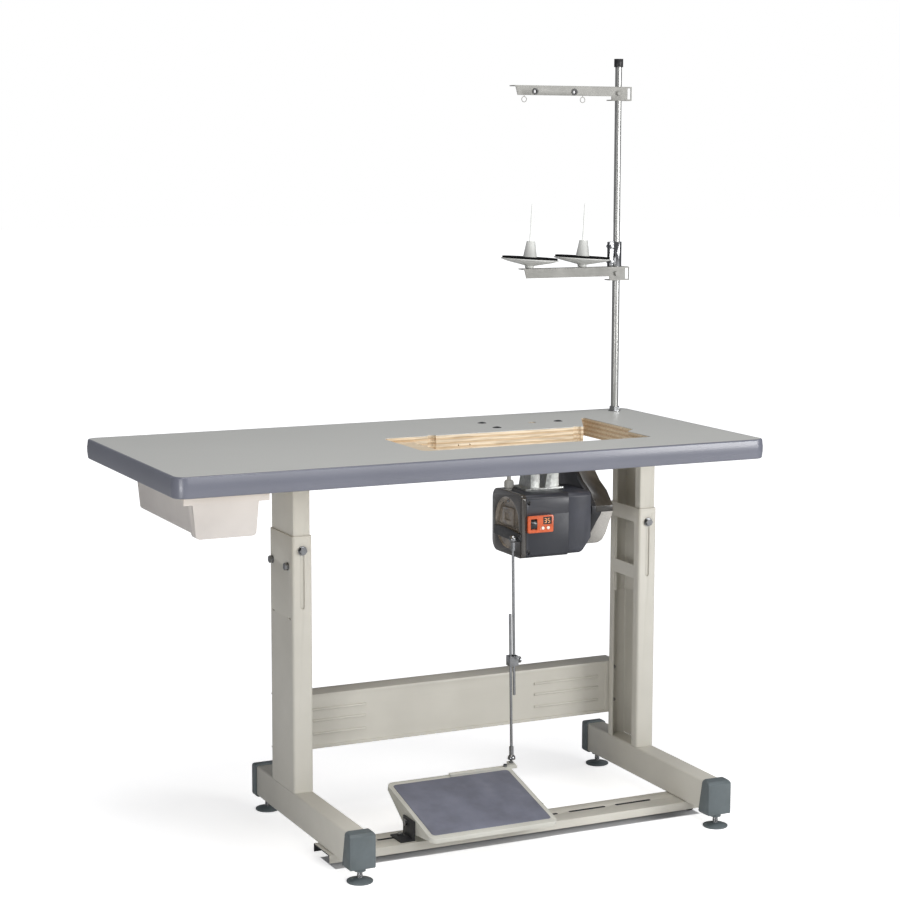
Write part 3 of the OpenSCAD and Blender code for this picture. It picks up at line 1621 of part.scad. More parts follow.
module guide_arm() {
    y0 = pole_y - arm_d / 2;
    color(zinc) translate([0, 0, guide_arm_z]) {
        difference() {
            thread_arm(pole_x - guide_arm_l, pole_upper_d + 2 * bore_gap);
            for (x = grommet_xs) translate([x, y0 - 1, grommet_z]) rotate([-90, 0, 0])
                cylinder(d = 9, h = arm_t + 2);
        }
        arm_bolt();
        for (x = ring_xs) translate([x, y0 + arm_t / 2, -arm_h - ring_d / 2 - 3]) {
            rotate([90, 0, 0]) rotate_extrude($fn = 32) translate([ring_d / 2, 0])
                circle(d = wire_d, $fn = 16);
            translate([0, 0, ring_d / 2]) cylinder(d = wire_d, h = 4);
        }
    }
}

module guide_grommets() {
    y0 = pole_y - arm_d / 2;
    color(black) for (x = grommet_xs)
        translate([x, y0 - 1.6, guide_arm_z + grommet_z]) rotate([-90, 0, 0])
            rotate_extrude() polygon([[3.4, 0], [6.6, 0], [6.6, 1.6], [4.5, 1.6],
                [4.5, 1.6 + arm_t], [6.4, 1.6 + arm_t], [6.4, 3 + arm_t], [3.4, 3 + arm_t]]);
}

table_board();
table_laminate();
edge_moulding();
drawer_rails();
drawer_tub();
upper_columns();
table_screws();
height_bolts();
left_lower_column();
right_lower_column();
left_foot_beam();
right_foot_beam();
foot_end_caps();
stretcher();
crossbar();
frame_bolts();
front_left_foot();
front_right_foot();
back_left_foot();
back_right_foot();
treadle_brackets();
treadle_pivots();
treadle_frame();
treadle_mat();
lever_bar();
ball_stud();
lower_rod();
rod_clamp();
clamp_screw();
upper_rod();
motor_lever();
motor_bracket();
motor_mount_bolts();
motor_shell();
motor_end_cap();
motor_top_cover();
motor_end_bell();
stator();
motor_bearings();
rotor_shaft();
motor_pulley();
guard_backplate();
guard_upper();
guard_lower();
tension_knob();
control_panel();
rocker_switch();
speed_up_button();
speed_down_button();
pole_lower();
pole_upper();
pole_coupling();
pole_cap();
pole_base_nut();
spool_arm();
spool_dishes();
spool_foams();
spool_pins();
guide_arm();
guide_grommets();
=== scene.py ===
"""Dresses a height-adjustable industrial sewing-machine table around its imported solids.

Every length is in metres in the frame's own axes unless a name ends in _mm.
"""

import json
import logging
import math
from collections.abc import Callable
from dataclasses import dataclass, field
from enum import Enum

import bmesh
import bpy
from mathutils import Matrix, Vector

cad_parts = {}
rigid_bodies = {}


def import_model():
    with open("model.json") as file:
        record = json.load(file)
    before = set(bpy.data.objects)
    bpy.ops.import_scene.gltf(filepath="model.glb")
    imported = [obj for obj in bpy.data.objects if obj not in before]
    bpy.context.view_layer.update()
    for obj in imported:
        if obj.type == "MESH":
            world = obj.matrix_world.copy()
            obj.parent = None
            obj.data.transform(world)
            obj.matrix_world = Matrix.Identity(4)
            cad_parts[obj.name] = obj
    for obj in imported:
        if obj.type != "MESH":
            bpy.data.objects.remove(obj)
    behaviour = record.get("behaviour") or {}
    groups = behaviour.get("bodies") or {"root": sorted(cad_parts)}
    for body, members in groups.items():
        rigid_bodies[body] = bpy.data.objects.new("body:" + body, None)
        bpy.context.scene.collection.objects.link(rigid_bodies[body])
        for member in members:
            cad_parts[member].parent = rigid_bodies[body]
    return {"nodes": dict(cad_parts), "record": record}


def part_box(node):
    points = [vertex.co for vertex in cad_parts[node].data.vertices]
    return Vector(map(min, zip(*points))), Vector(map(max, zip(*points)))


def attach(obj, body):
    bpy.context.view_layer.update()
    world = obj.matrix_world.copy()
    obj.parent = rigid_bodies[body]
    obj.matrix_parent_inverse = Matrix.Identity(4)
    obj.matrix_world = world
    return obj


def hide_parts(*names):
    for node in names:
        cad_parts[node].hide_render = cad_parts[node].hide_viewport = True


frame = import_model()

LOG = logging.getLogger("sewing_table")
MM = 0.001
WELD = 0.01 * MM
FLAT_ANGLE = math.radians(0.8)
SHARP_ANGLE = math.radians(35)
ROUNDED_ANGLE = math.radians(30)
TURNED_FACETS = 48
SCREW_FACETS = 32
# Nearly all values of a noise lie between these two.
NOISE_LOW, NOISE_HIGH = 0.3, 0.7

Colour = tuple[float, float, float, float]
Point = tuple[float, float, float]


def linear(colour: str) -> Colour:
    """Turns an sRGB hex colour into linear light.

    Args:
        colour: The colour as "#RRGGBB".

    Returns:
        Linear red, green, blue and an alpha of 1.
    """
    shares = (int(colour[i:i + 2], 16) / 255 for i in (1, 3, 5))
    red, green, blue = (s / 12.92 if s <= 0.04045 else ((s + 0.055) / 1.055) ** 2.4 for s in shares)
    return red, green, blue, 1.0


def add_node(tree: bpy.types.NodeTree, kind: str, inputs: dict | None = None,
             stops: dict[float, str] | None = None, **settings: object) -> bpy.types.Node:
    """Adds a node with its settings and links.

    Args:
        tree: The tree that gets the node.
        kind: The node's type, such as "ShaderNodeTexNoise".
        inputs: Input name or index, with a value or the socket that feeds it.
        stops: Places and hex colours, for a node with a colour ramp.
        **settings: The node's own properties.

    Returns:
        The new node.
    """
    node = tree.nodes.new(kind)
    for name, value in settings.items():
        setattr(node, name, value)
    for name, value in (inputs or {}).items():
        if isinstance(value, bpy.types.NodeSocket):
            tree.links.new(value, node.inputs[name])
        else:
            node.inputs[name].default_value = value
    if stops:
        ramp = node.color_ramp.elements
        while len(ramp) < len(stops):
            ramp.new(0.5)
        for stop, (place, colour) in zip(ramp, stops.items()):
            stop.position = place
            stop.color = linear(colour)
    return node


def darker(colour: str, share: float) -> str:
    """Returns a hex colour darkened by a share of its sRGB values, or lightened by a negative one."""
    values = (min(255, round(int(colour[i:i + 2], 16) * (1 - share))) for i in (1, 3, 5))
    return "#" + "".join(f"{v:02X}" for v in values)


# ------------------------------------------------------------------- finishes


@dataclass(frozen=True)
class Finish:
    """A surface: its colour, its gloss and the relief left by how it was made.

    Attributes:
        name: Common name of the material and its finish.
        colour: Colour of the surface as sRGB hex.
        roughness: Middle of the roughness.
        spread: How far the roughness wanders either way.
        metallic: 1 for bare metal, 0 for the rest.
        coat: Weight of a clear layer on top.
        mottle: How much darker the darkest cloud of the colour is.
        mottle_mm: Size of those clouds.
        grain_mm: Size of the surface's grain.
        depth_mm: Height of that grain.
    """

    name: str
    colour: str
    roughness: float = 0.5
    spread: float = 0.05
    metallic: float = 0.0
    coat: float = 0.0
    mottle: float = 0.05
    mottle_mm: float = 45.0
    grain_mm: float = 1.6
    depth_mm: float = 0.02

    def noise(self, tree: bpy.types.NodeTree, size_mm: float,
              stretch: Point = (1, 1, 1), detail: float = 3.0) -> bpy.types.NodeSocket:
        """Adds a noise of a real size on the piece's own coordinates.

        Args:
            tree: The material's tree.
            size_mm: Size of one blotch.
            stretch: How often the pattern repeats along X, Y and Z, against that size.
            detail: Number of finer octaves.

        Returns:
            The socket with the noise, from 0 to 1.
        """
        place = add_node(tree, "ShaderNodeTexCoord").outputs["Object"]
        mapped = add_node(tree, "ShaderNodeMapping", {"Vector": place, "Scale": stretch})
        cloud = add_node(tree, "ShaderNodeTexNoise", {
            "Vector": mapped.outputs["Vector"], "Scale": 1 / (size_mm * MM), "Detail": detail})
        return cloud.outputs["Fac"]

    def tint(self, tree: bpy.types.NodeTree) -> bpy.types.NodeSocket:
        """Adds the colour, the plain one with faint clouds.

        Args:
            tree: The material's tree.

        Returns:
            The socket with the colour.
        """
        stops = {NOISE_LOW: darker(self.colour, self.mottle),
                 NOISE_HIGH: darker(self.colour, -0.3 * self.mottle)}
        return add_node(tree, "ShaderNodeValToRGB", {"Fac": self.noise(tree, self.mottle_mm)},
                        stops).outputs["Color"]

    def gloss(self, tree: bpy.types.NodeTree) -> bpy.types.NodeSocket:
        """Adds the roughness, which wanders with the handling of the surface.

        Args:
            tree: The material's tree.

        Returns:
            The socket with the roughness.
        """
        return add_node(tree, "ShaderNodeMapRange", {
            "Value": self.noise(tree, self.mottle_mm / 3), "From Min": NOISE_LOW,
            "From Max": NOISE_HIGH, "To Min": self.roughness - self.spread,
            "To Max": self.roughness + self.spread}).outputs["Result"]

    def height(self, tree: bpy.types.NodeTree) -> bpy.types.NodeSocket:
        """Adds the height of the grain, and returns its socket."""
        return self.noise(tree, self.grain_mm, detail=2.0)

    def extras(self) -> dict[str, float]:
        """Returns what else is set on the shader's own sockets."""
        return {}

    def build(self) -> bpy.types.Material:
        """Builds the material.

        Returns:
            The new material, named after the finish.
        """
        material = bpy.data.materials.new(self.name)
        material.use_nodes = True
        material.diffuse_color = linear(self.colour)
        tree = material.node_tree
        tree.nodes.clear()
        relief = add_node(tree, "ShaderNodeBump", {
            "Height": self.height(tree), "Strength": 1.0, "Distance": self.depth_mm * MM})
        shader = add_node(tree, "ShaderNodeBsdfPrincipled", {
            "Base Color": self.tint(tree), "Roughness": self.gloss(tree),
            "Normal": relief.outputs["Normal"], "Metallic": self.metallic,
            "Coat Weight": self.coat, "Coat Roughness": 0.15} | self.extras())
        add_node(tree, "ShaderNodeOutputMaterial", {"Surface": shader.outputs["BSDF"]})
        return material


@dataclass(frozen=True)
class Extruded(Finish):
    """Plastic pulled through a die or tube drawn through a ring: fine lines run along it.

    Attributes:
        lines: How often the lines repeat along X, Y and Z, against the grain's size.
    """

    lines: Point = (0.02, 0.02, 1.0)

    def height(self, tree: bpy.types.NodeTree) -> bpy.types.NodeSocket:
        """Adds drawing lines in place of a grain, and returns their socket."""
        return self.noise(tree, self.grain_mm, stretch=self.lines)


@dataclass(frozen=True)
class BirchPly(Finish):
    """Sanded birch plywood: light veneers along the board between darker ones across it.

    Attributes:
        cross: Colour of the veneers that lie across.
        glue: Colour of the glue lines.
        ply_mm: Thickness of one veneer.
        fibre_mm: Width of a bundle of fibres.
    """

    cross: str = "#C79A63"
    glue: str = "#A8743F"
    ply_mm: float = 4.5
    fibre_mm: float = 2.5

    def tint(self, tree: bpy.types.NodeTree) -> bpy.types.NodeSocket:
        """Adds the veneers by height, with thin glue lines and fibres.

        Args:
            tree: The material's tree.

        Returns:
            The socket with the colour.
        """
        place = add_node(tree, "ShaderNodeTexCoord").outputs["Object"]
        height = add_node(tree, "ShaderNodeSeparateXYZ", {"Vector": place}).outputs["Z"]
        pair = add_node(tree, "ShaderNodeMath", {0: height, 1: 0.5 / (self.ply_mm * MM)},
                        operation="MULTIPLY")
        share = add_node(tree, "ShaderNodeMath", {0: pair.outputs[0]}, operation="FRACT")
        veneers = add_node(tree, "ShaderNodeValToRGB", {"Fac": share.outputs[0]}, {
            0.00: self.glue, 0.05: self.colour, 0.60: darker(self.colour, 0.03), 0.65: self.glue,
            0.70: self.cross, 0.95: darker(self.cross, 0.06)})
        fibres = self.noise(tree, self.fibre_mm, stretch=(0.05, 1, 1), detail=4)
        shade = add_node(tree, "ShaderNodeValToRGB", {"Fac": fibres}, {0.35: "#D9D3CC", 0.6: "#FFFFFF"})
        # Inputs 6 and 7 of a colour mix are its two colours, and output 2 is the mixed one.
        mixed = add_node(tree, "ShaderNodeMix", {
            "Factor": 1.0, 6: veneers.outputs["Color"], 7: shade.outputs["Color"]},
            data_type="RGBA", blend_type="MULTIPLY")
        return mixed.outputs[2]

    def height(self, tree: bpy.types.NodeTree) -> bpy.types.NodeSocket:
        """Adds the fibres that sanding leaves, and returns their socket."""
        return self.noise(tree, self.grain_mm, stretch=(0.1, 1, 1))


@dataclass(frozen=True)
class Speckled(Finish):
    """Decorative laminate: a printed sheet with fine lighter and darker specks.

    Attributes:
        speck: Colour of the darkest specks.
        speck_mm: Size of a speck.
        cloudy: How much the clouds of the print shift its specks.
    """

    speck: str = "#B9B9B4"
    speck_mm: float = 1.3
    cloudy: float = 0.2

    def tint(self, tree: bpy.types.NodeTree) -> bpy.types.NodeSocket:
        """Adds the printed specks over the ground.

        Args:
            tree: The material's tree.

        Returns:
            The socket with the colour.
        """
        specks = self.noise(tree, self.speck_mm, detail=1.0)
        clouds = self.noise(tree, self.mottle_mm)
        mixed = add_node(tree, "ShaderNodeMath", {0: clouds, 1: self.cloudy, 2: specks},
                         operation="MULTIPLY_ADD")
        return add_node(tree, "ShaderNodeValToRGB", {"Fac": mixed.outputs[0]}, {
            0.38: self.speck, 0.5: self.colour, 0.72: darker(self.colour, -0.02)}).outputs["Color"]


@dataclass(frozen=True)
class Spangled(Finish):
    """Hot-dip galvanised sheet: zinc crystals a few millimetres wide, each with its own shade.

    Attributes:
        crystal_mm: Width of a crystal.
        dull: Colour of the darkest crystals.
    """

    crystal_mm: float = 5.0
    dull: str = "#8D8E8B"

    def crystals(self, tree: bpy.types.NodeTree) -> bpy.types.NodeSocket:
        """Adds the crystals.

        Args:
            tree: The material's tree.

        Returns:
            The socket with one random value for each crystal.
        """
        place = add_node(tree, "ShaderNodeTexCoord").outputs["Object"]
        cells = add_node(tree, "ShaderNodeTexVoronoi", {
            "Vector": place, "Scale": 1 / (self.crystal_mm * MM)})
        return add_node(tree, "ShaderNodeSeparateColor", {"Color": cells.outputs["Color"]}).outputs[0]

    def tint(self, tree: bpy.types.NodeTree) -> bpy.types.NodeSocket:
        """Adds a shade for each crystal, and returns the colour."""
        return add_node(tree, "ShaderNodeValToRGB", {"Fac": self.crystals(tree)}, {
            0.0: self.dull, 0.5: self.colour, 1.0: darker(self.colour, -0.12)}).outputs["Color"]

    def gloss(self, tree: bpy.types.NodeTree) -> bpy.types.NodeSocket:
        """Adds a roughness for each crystal, and returns its socket."""
        return add_node(tree, "ShaderNodeMapRange", {
            "Value": self.crystals(tree), "To Min": self.roughness - self.spread,
            "To Max": self.roughness + self.spread}).outputs["Result"]


@dataclass(frozen=True)
class Cellular(Finish):
    """Closed-cell foam: open pores over the whole face and no gloss at all."""

    def extras(self) -> dict[str, float]:
        """Returns how little the cut cells shine."""
        return {"Specular IOR Level": 0.1}

    def height(self, tree: bpy.types.NodeTree) -> bpy.types.NodeSocket:
        """Adds the pores.

        Args:
            tree: The material's tree.

        Returns:
            The socket with the depth of the pores.
        """
        place = add_node(tree, "ShaderNodeTexCoord").outputs["Object"]
        pores = add_node(tree, "ShaderNodeTexVoronoi", {
            "Vector": place, "Scale": 1 / (self.grain_mm * MM)})
        return pores.outputs["Distance"]


@dataclass(frozen=True)
class ShadedNearShaft(Finish):
    """Plastic with painted shade near the shaft; towards the outer rim it fades to the plain colour.

    Attributes:
        shade_colour: Colour of the darkest painted shade.
        unshaded_mm: Distance from the shaft's line from which the plastic has no painted shade.
        darkest_mm: Distance up to which the painted shade is at its darkest.
        ragged_mm: How far the painted shade's edge wanders.
    """

    shade_colour: str = "#26231F"
    unshaded_mm: float = 138.0
    darkest_mm: float = 84.0
    ragged_mm: float = 30.0

    def tint(self, tree: bpy.types.NodeTree) -> bpy.types.NodeSocket:
        """Adds the painted shade by the distance from the shaft's line.

        Args:
            tree: The material's tree.

        Returns:
            The socket with the colour.
        """
        low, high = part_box("motor_pulley")
        place = add_node(tree, "ShaderNodeTexCoord").outputs["Object"]
        across = add_node(tree, "ShaderNodeVectorMath", {0: place, 1: (low + high) / 2},
                          operation="SUBTRACT")
        flat = add_node(tree, "ShaderNodeVectorMath", {0: across.outputs[0], 1: (0, 1, 1)},
                        operation="MULTIPLY")
        reach = add_node(tree, "ShaderNodeVectorMath", {0: flat.outputs[0]}, operation="LENGTH")
        clouds = self.noise(tree, self.mottle_mm / 2)
        ragged = add_node(tree, "ShaderNodeMath", {
            0: clouds, 1: self.ragged_mm * MM, 2: reach.outputs["Value"]},
            operation="MULTIPLY_ADD")
        share = add_node(tree, "ShaderNodeMapRange", {
            "Value": ragged.outputs[0], "From Min": self.darkest_mm * MM,
            "From Max": self.unshaded_mm * MM})
        # Painted shade: darkest near the shaft's line, fading to the plain colour further out.
        return add_node(tree, "ShaderNodeValToRGB", {"Fac": share.outputs["Result"]}, {
            0.0: self.shade_colour, 0.6: darker(self.colour, 0.35), 1.0: self.colour}).outputs["Color"]


@dataclass(frozen=True)
class PaintedGlowNylon(Finish):
    """Natural nylon: a painted glow stands in for light scattered under its skin, so that it stays
    bright all round.

    Attributes:
        index: Nylon's index of refraction.
        glow: Strength of the painted glow that lights the shaded side.
    """

    index: float = 1.53
    glow: float = 0.22

    def extras(self) -> dict[str, object]:
        """Returns the index, and the painted glow that stands in for light from under the skin."""
        # Painted glow: emission in the nylon's own colour keeps the pins bright in the shade.
        return {"IOR": self.index, "Emission Color": linear(self.colour),
                "Emission Strength": self.glow}


@dataclass(frozen=True)
class Lit(Finish):
    """A surface that gives off light of its own: the segments of a number display.

    Attributes:
        glow: Strength of that light.
    """

    glow: float = 1.2

    def extras(self) -> dict[str, object]:
        """Returns the light that the segments give off."""
        return {"Emission Color": linear(self.colour), "Emission Strength": self.glow}


# Light-emitting segments behind smoked film: a soft amber that doesn't light the panel.
DIGIT_LIGHT = Lit("display_segments_amber", "#F3A56B", 0.4, mottle=0.0, depth_mm=0.0, glow=0.25)

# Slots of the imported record, and the finish that each of them gets. A grain that is really
# under a millimetre is drawn about one to three millimetres wide, so that it shows from here.
FINISHES: dict[str, Finish] = {
    # Polyester powder coat on steel: satin, with the soft orange peel of a baked powder.
    "frame_paint": Finish("powder_coat_beige", "#CDCAC0", 0.48, grain_mm=2.4, depth_mm=0.035,
                          mottle=0.035, mottle_mm=120),
    # The same coat in off-white on cast treadle and folded bar.
    "light_paint": Finish("powder_coat_off_white", "#CDCCC3", 0.48, grain_mm=2.4, depth_mm=0.04,
                          mottle=0.04, mottle_mm=70),
    # Textured enamel on die-cast aluminium: fine grit that breaks the highlight.
    "motor_paint": Finish("texture_enamel_slate", "#26282F", 0.42, grain_mm=1.4, depth_mm=0.04,
                          mottle=0.07, mottle_mm=60),
    # Painted sheet cover, a little lighter and smoother than the casting under it.
    "motor_cover": Finish("satin_enamel_grey", "#3D3E43", 0.36, grain_mm=1.4, depth_mm=0.03,
                          mottle=0.06),
    # Painted sand casting: rounder grain and deeper shade.
    "motor_cast": Finish("cast_enamel_dark", "#363840", 0.42, grain_mm=1.8, depth_mm=0.07,
                         mottle=0.08, mottle_mm=30),
    # Polished ABS moulding: nearly black, with clear reflections.
    "end_cap_plastic": Finish("polished_abs_brown_black", "#34312C", 0.2, 0.03, coat=0.8,
                              grain_mm=6, depth_mm=0.01, mottle=0.1),
    # Bright zinc plate on turned and headed steel: cool, with a faint cloud.
    "zinc": Finish("bright_zinc_plate", "#909192", 0.22, 0.05, metallic=1.0, grain_mm=3,
                   depth_mm=0.004, mottle=0.08, mottle_mm=14),
    # Galvanised sheet: a crystal pattern that breaks the reflection into shades of grey.
    "galvanised": Spangled("galvanised_sheet", "#A9ABA9", 0.36, 0.08, metallic=0.9, grain_mm=3,
                           depth_mm=0.006, dull="#979997"),
    # Drawn tube with a satin plate: long faint draw lines keep the highlight in a stripe.
    "pole_steel": Extruded("satin_drawn_tube", "#B4B4B1", 0.32, 0.03, metallic=0.85, grain_mm=3,
                           depth_mm=0.003, mottle=0.04, mottle_mm=40, lines=(1.0, 1.0, 0.02)),
    # Grey cast iron, turned: dark, with tool marks round the rim.
    "pulley_iron": Extruded("turned_cast_iron", "#46474A", 0.38, metallic=0.8, grain_mm=0.9,
                            depth_mm=0.03, lines=(1.0, 0.05, 0.05)),
    # Enamelled copper wire: warm and glossy.
    "copper": Finish("enamelled_copper", "#B06A32", 0.3, metallic=0.9, coat=0.5, grain_mm=1.0,
                     depth_mm=0.1, mottle=0.2, mottle_mm=6),
    # Birch plywood, sawn and sanded: pale veneers with glue lines between them.
    "plywood": BirchPly("sanded_birch_plywood", "#EFDDC0", 0.6, grain_mm=1.0, depth_mm=0.04,
                        cross="#E2C6A0", glue="#BC9465"),
    # Matt melamine laminate: a quiet grey print with a slight hammer texture.
    "laminate": Speckled("matt_laminate", "#C4C4BF", 0.4, 0.02, grain_mm=2.2, depth_mm=0.015,
                         mottle_mm=220),
    # Soft PVC extrusion: satin, with lines along the edge of the table.
    "moulding_plastic": Extruded("extruded_pvc_blue_grey", "#6F717C", 0.3, 0.0, coat=0.3,
                                 grain_mm=4.0, depth_mm=0.01, mottle=0.03, mottle_mm=200),
    # Polystyrene moulding with a light spark-eroded texture.
    "drawer_plastic": Finish("moulded_polystyrene_ivory", "#D0CAC4", 0.42, grain_mm=1.2,
                             depth_mm=0.03, mottle=0.04, mottle_mm=80),
    # Glass-filled nylon: matt, with a fine bead texture.
    "dark_plastic": Finish("textured_nylon_grey", "#626A6D", 0.5, grain_mm=1.5, depth_mm=0.06,
                           mottle=0.08, mottle_mm=35),
    # Nitrile rubber mat: matt, cloudy where shoes have been.
    "mat_rubber": Finish("moulded_rubber_blue_grey", "#777A87", 0.58, 0.1, grain_mm=1.8,
                         depth_mm=0.08, mottle=0.12, mottle_mm=55),
    # Moulded ABS, dyed through: black with a satin skin.
    "guard_black": Finish("moulded_abs_black", "#202124", 0.38, grain_mm=1.4, depth_mm=0.03),
    # The same plastic, with painted shade that is darkest at the black plate and fades outwards.
    "guard_beige": ShadedNearShaft("moulded_abs_taupe", "#8E867C", 0.32, coat=0.3, grain_mm=1.6,
                          depth_mm=0.03, mottle=0.1, mottle_mm=60),
    # Moulded ABS with a coarse spark-eroded texture: matt, with fine shade in the grit.
    "guard_grey": Finish("moulded_abs_light_grey", "#B9B6B0", 0.42, grain_mm=1.2, depth_mm=0.08,
                         mottle=0.08, mottle_mm=2.5),
    # Printed polyester label film over the keys.
    "panel_orange": Finish("polyester_film_orange", "#C9551F", 0.3, coat=0.3, grain_mm=3,
                           depth_mm=0.01, mottle=0.12, mottle_mm=14),
    # Polished nylon: black, with one small clear highlight.
    "switch_black": Finish("polished_nylon_black", "#17171A", 0.25, coat=0.3, grain_mm=2,
                           depth_mm=0.02, mottle=0.15, mottle_mm=10),
    # Moulded ABS key: warm white and smooth, so that it stands out of the panel.
    "button_cream": Finish("moulded_abs_cream", "#EDE7DB", 0.35, grain_mm=1, depth_mm=0.01),
    # Closed-cell foam: dead black, with open pores that catch no highlight.
    "foam": Cellular("closed_cell_foam_black", "#111112", 0.95, 0.03, grain_mm=1.2, depth_mm=0.25,
                     mottle=0.25, mottle_mm=8),
    # Moulded polypropylene: pale grey with a waxy, broad highlight.
    "dish_plastic": Finish("moulded_polypropylene_grey", "#D2D3CE", 0.4, grain_mm=1.5,
                           depth_mm=0.02, mottle=0.05, mottle_mm=25),
    # Nylon without dye: milky, with a painted glow so that it is as bright in the shade as in the
    # light.
    "pin_plastic": PaintedGlowNylon("natural_nylon", "#EDEEEA", 0.35, grain_mm=2, depth_mm=0.01,
                               mottle=0.02),
    # Thin black powder coat on pressed steel: fine texture, soft highlight. Also used inside the
    # crossbar as painted shade.
    "black_steel": Finish("powder_coat_black", "#2A2B2D", 0.42, grain_mm=1.6, depth_mm=0.04,
                          mottle=0.12, mottle_mm=20),
    # Satin nickel plate on folded steel: warm, with a broad soft highlight.
    "arm_steel": Finish("satin_nickel_plate", "#93928D", 0.5, 0.03, metallic=0.15, grain_mm=3,
                        depth_mm=0.005, mottle=0.05, mottle_mm=30),
    # Moulded nylon: middle grey and satin, with a knurl for the fingers.
    "knob_grey": Finish("moulded_nylon_grey", "#9A9994", 0.45, grain_mm=1.2, depth_mm=0.03),
    # The same ABS where the dish shows it thin: smoky, lighter and very glossy.
    "cap_glaze": Finish("polished_abs_smoke", "#857C70", 0.16, 0.03, coat=1.0, grain_mm=5,
                        depth_mm=0.02, mottle=0.25, mottle_mm=22),
    # Soft PVC: black, matt and even.
    "black_plastic": Finish("moulded_pvc_black", "#1D1D1E", 0.4, grain_mm=1.3, depth_mm=0.03,
                            mottle=0.15, mottle_mm=8),
}


# ------------------------------------------------------------------- workshop


class Workshop:
    """Holds which body and slot each node has, and the materials made so far."""

    def __init__(self) -> None:
        """Reads which body and slot each node belongs to."""
        record = frame["record"]
        self.slot_of = {row["node"]: row["material_slot"] for row in record["subparts"]}
        self.body_of = {node: body for body, nodes in record["behaviour"]["bodies"].items()
                        for node in nodes}
        self.materials: dict[str, bpy.types.Material] = {}

    def material(self, slot: str) -> bpy.types.Material:
        """Returns the material of a slot, built the first time it is asked for."""
        if slot not in self.materials:
            self.materials[slot] = FINISHES[slot].build()
        return self.materials[slot]

    def dress(self, node: str) -> None:
        """Gives a node its finish and leaves its shape alone.

        Args:
            node: The node.
        """
        piece = frame["nodes"][node]
        for holder in piece.material_slots:
            holder.material = self.material(self.slot_of[node])
        LOG.info("%s: dressed in %s", node, piece.material_slots[0].material.name)

    def adopt(self, piece: bpy.types.Object, host: str, slot: str, *nodes: str) -> bpy.types.Object:
        """Makes a new piece part of the table.

        Args:
            piece: The finished piece, in place.
            host: A node of the body that it moves with.
            slot: The record's slot that it takes its finish from.
            *nodes: The nodes that it stands for.

        Returns:
            The same piece.
        """
        if not piece.data.materials:
            piece.data.materials.append(self.material(slot))
        body = self.body_of[host]
        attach(piece, body)
        if nodes:
            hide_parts(*nodes)
        LOG.info("%s: made for %s, rides on %s", piece.name, ", ".join(nodes) or "itself", body)
        return piece

    def repaint(self, piece: bpy.types.Object, slot: str,
                where: Callable[[Vector, Vector], bool]) -> None:
        """Gives some faces of a piece of this script's own another finish.

        Args:
            piece: The piece.
            slot: Slot of the other finish.
            where: Says of a face, by its centre and its normal, whether it is one of them.
        """
        piece.data.materials.append(self.material(slot))
        last = len(piece.data.materials) - 1
        for face in piece.data.polygons:
            if where(face.center, face.normal):
                face.material_index = last

    def turn(self, name: str, profile_mm: list[tuple[float, float]],
             foot: Point) -> bpy.types.Object:
        """Turns a profile about an upright axis.

        Args:
            name: Name of the new piece.
            profile_mm: Radius and height of each corner, from the axis and back to it.
            foot: The point of the axis at height nought, in metres.

        Returns:
            The new piece.
        """
        form = bmesh.new()
        points = [form.verts.new((radius * MM, 0, height * MM)) for radius, height in profile_mm]
        edges = [form.edges.new(pair) for pair in zip(points, points[1:])]
        bmesh.ops.spin(form, geom=points + edges, cent=(0, 0, 0), axis=(0, 0, 1),
                       angle=math.tau, steps=TURNED_FACETS)
        bmesh.ops.remove_doubles(form, verts=form.verts, dist=WELD)
        bmesh.ops.recalc_face_normals(form, faces=form.faces)
        bmesh.ops.translate(form, verts=form.verts, vec=foot)
        piece = self.stand(form, name)
        piece.data.shade_smooth()
        piece.data.set_sharp_from_angle(angle=SHARP_ANGLE)
        return piece

    def soften(self, node: str, width_mm: float, segments: int = 2,
               cell_mm: float = 0.0) -> bpy.types.Object:
        """Makes a joined-up copy of a node with rounded edges, which stands for it.

        Args:
            node: The node.
            width_mm: Width of the rounding.
            segments: Facets across the rounding.
            cell_mm: Length along X of the cells that long faces are cut into, or 0 for none.
                Without them a long face round many small ones turns into slivers.

        Returns:
            The new piece.
        """
        form = bmesh.new()
        form.from_mesh(frame["nodes"][node].data)
        bmesh.ops.remove_doubles(form, verts=form.verts, dist=WELD)
        bmesh.ops.dissolve_limit(form, angle_limit=FLAT_ANGLE, verts=form.verts, edges=form.edges)
        low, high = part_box(node)
        cells = int((high.x - low.x) / (cell_mm * MM)) if cell_mm else 0
        for i in range(1, cells):
            bmesh.ops.bisect_plane(form, geom=form.verts[:] + form.edges[:] + form.faces[:],
                                   plane_co=(low.x + i * cell_mm * MM, 0, 0), plane_no=(1, 0, 0))
        for face in form.faces:
            face.smooth = True
        piece = self.stand(form, node + "_form")
        rounding = piece.modifiers.new("rounding", "BEVEL")
        rounding.width = width_mm * MM
        rounding.segments = segments
        rounding.limit_method = "ANGLE"
        rounding.angle_limit = ROUNDED_ANGLE
        rounding.harden_normals = True
        rounding.use_clamp_overlap = True
        return self.adopt(piece, node, self.slot_of[node], node)

    @staticmethod
    def stand(form: bmesh.types.BMesh, name: str) -> bpy.types.Object:
        """Turns a form into an object at the origin, with its place in its mesh.

        Args:
            form: The form, which is freed.
            name: Name of the new piece.

        Returns:
            The new object, linked into the scene.
        """
        mesh = bpy.data.meshes.new(name)
        form.to_mesh(mesh)
        form.free()
        piece = bpy.data.objects.new(name, mesh)
        bpy.context.scene.collection.objects.link(piece)
        return piece


# ------------------------------------------------------------- repeated forms


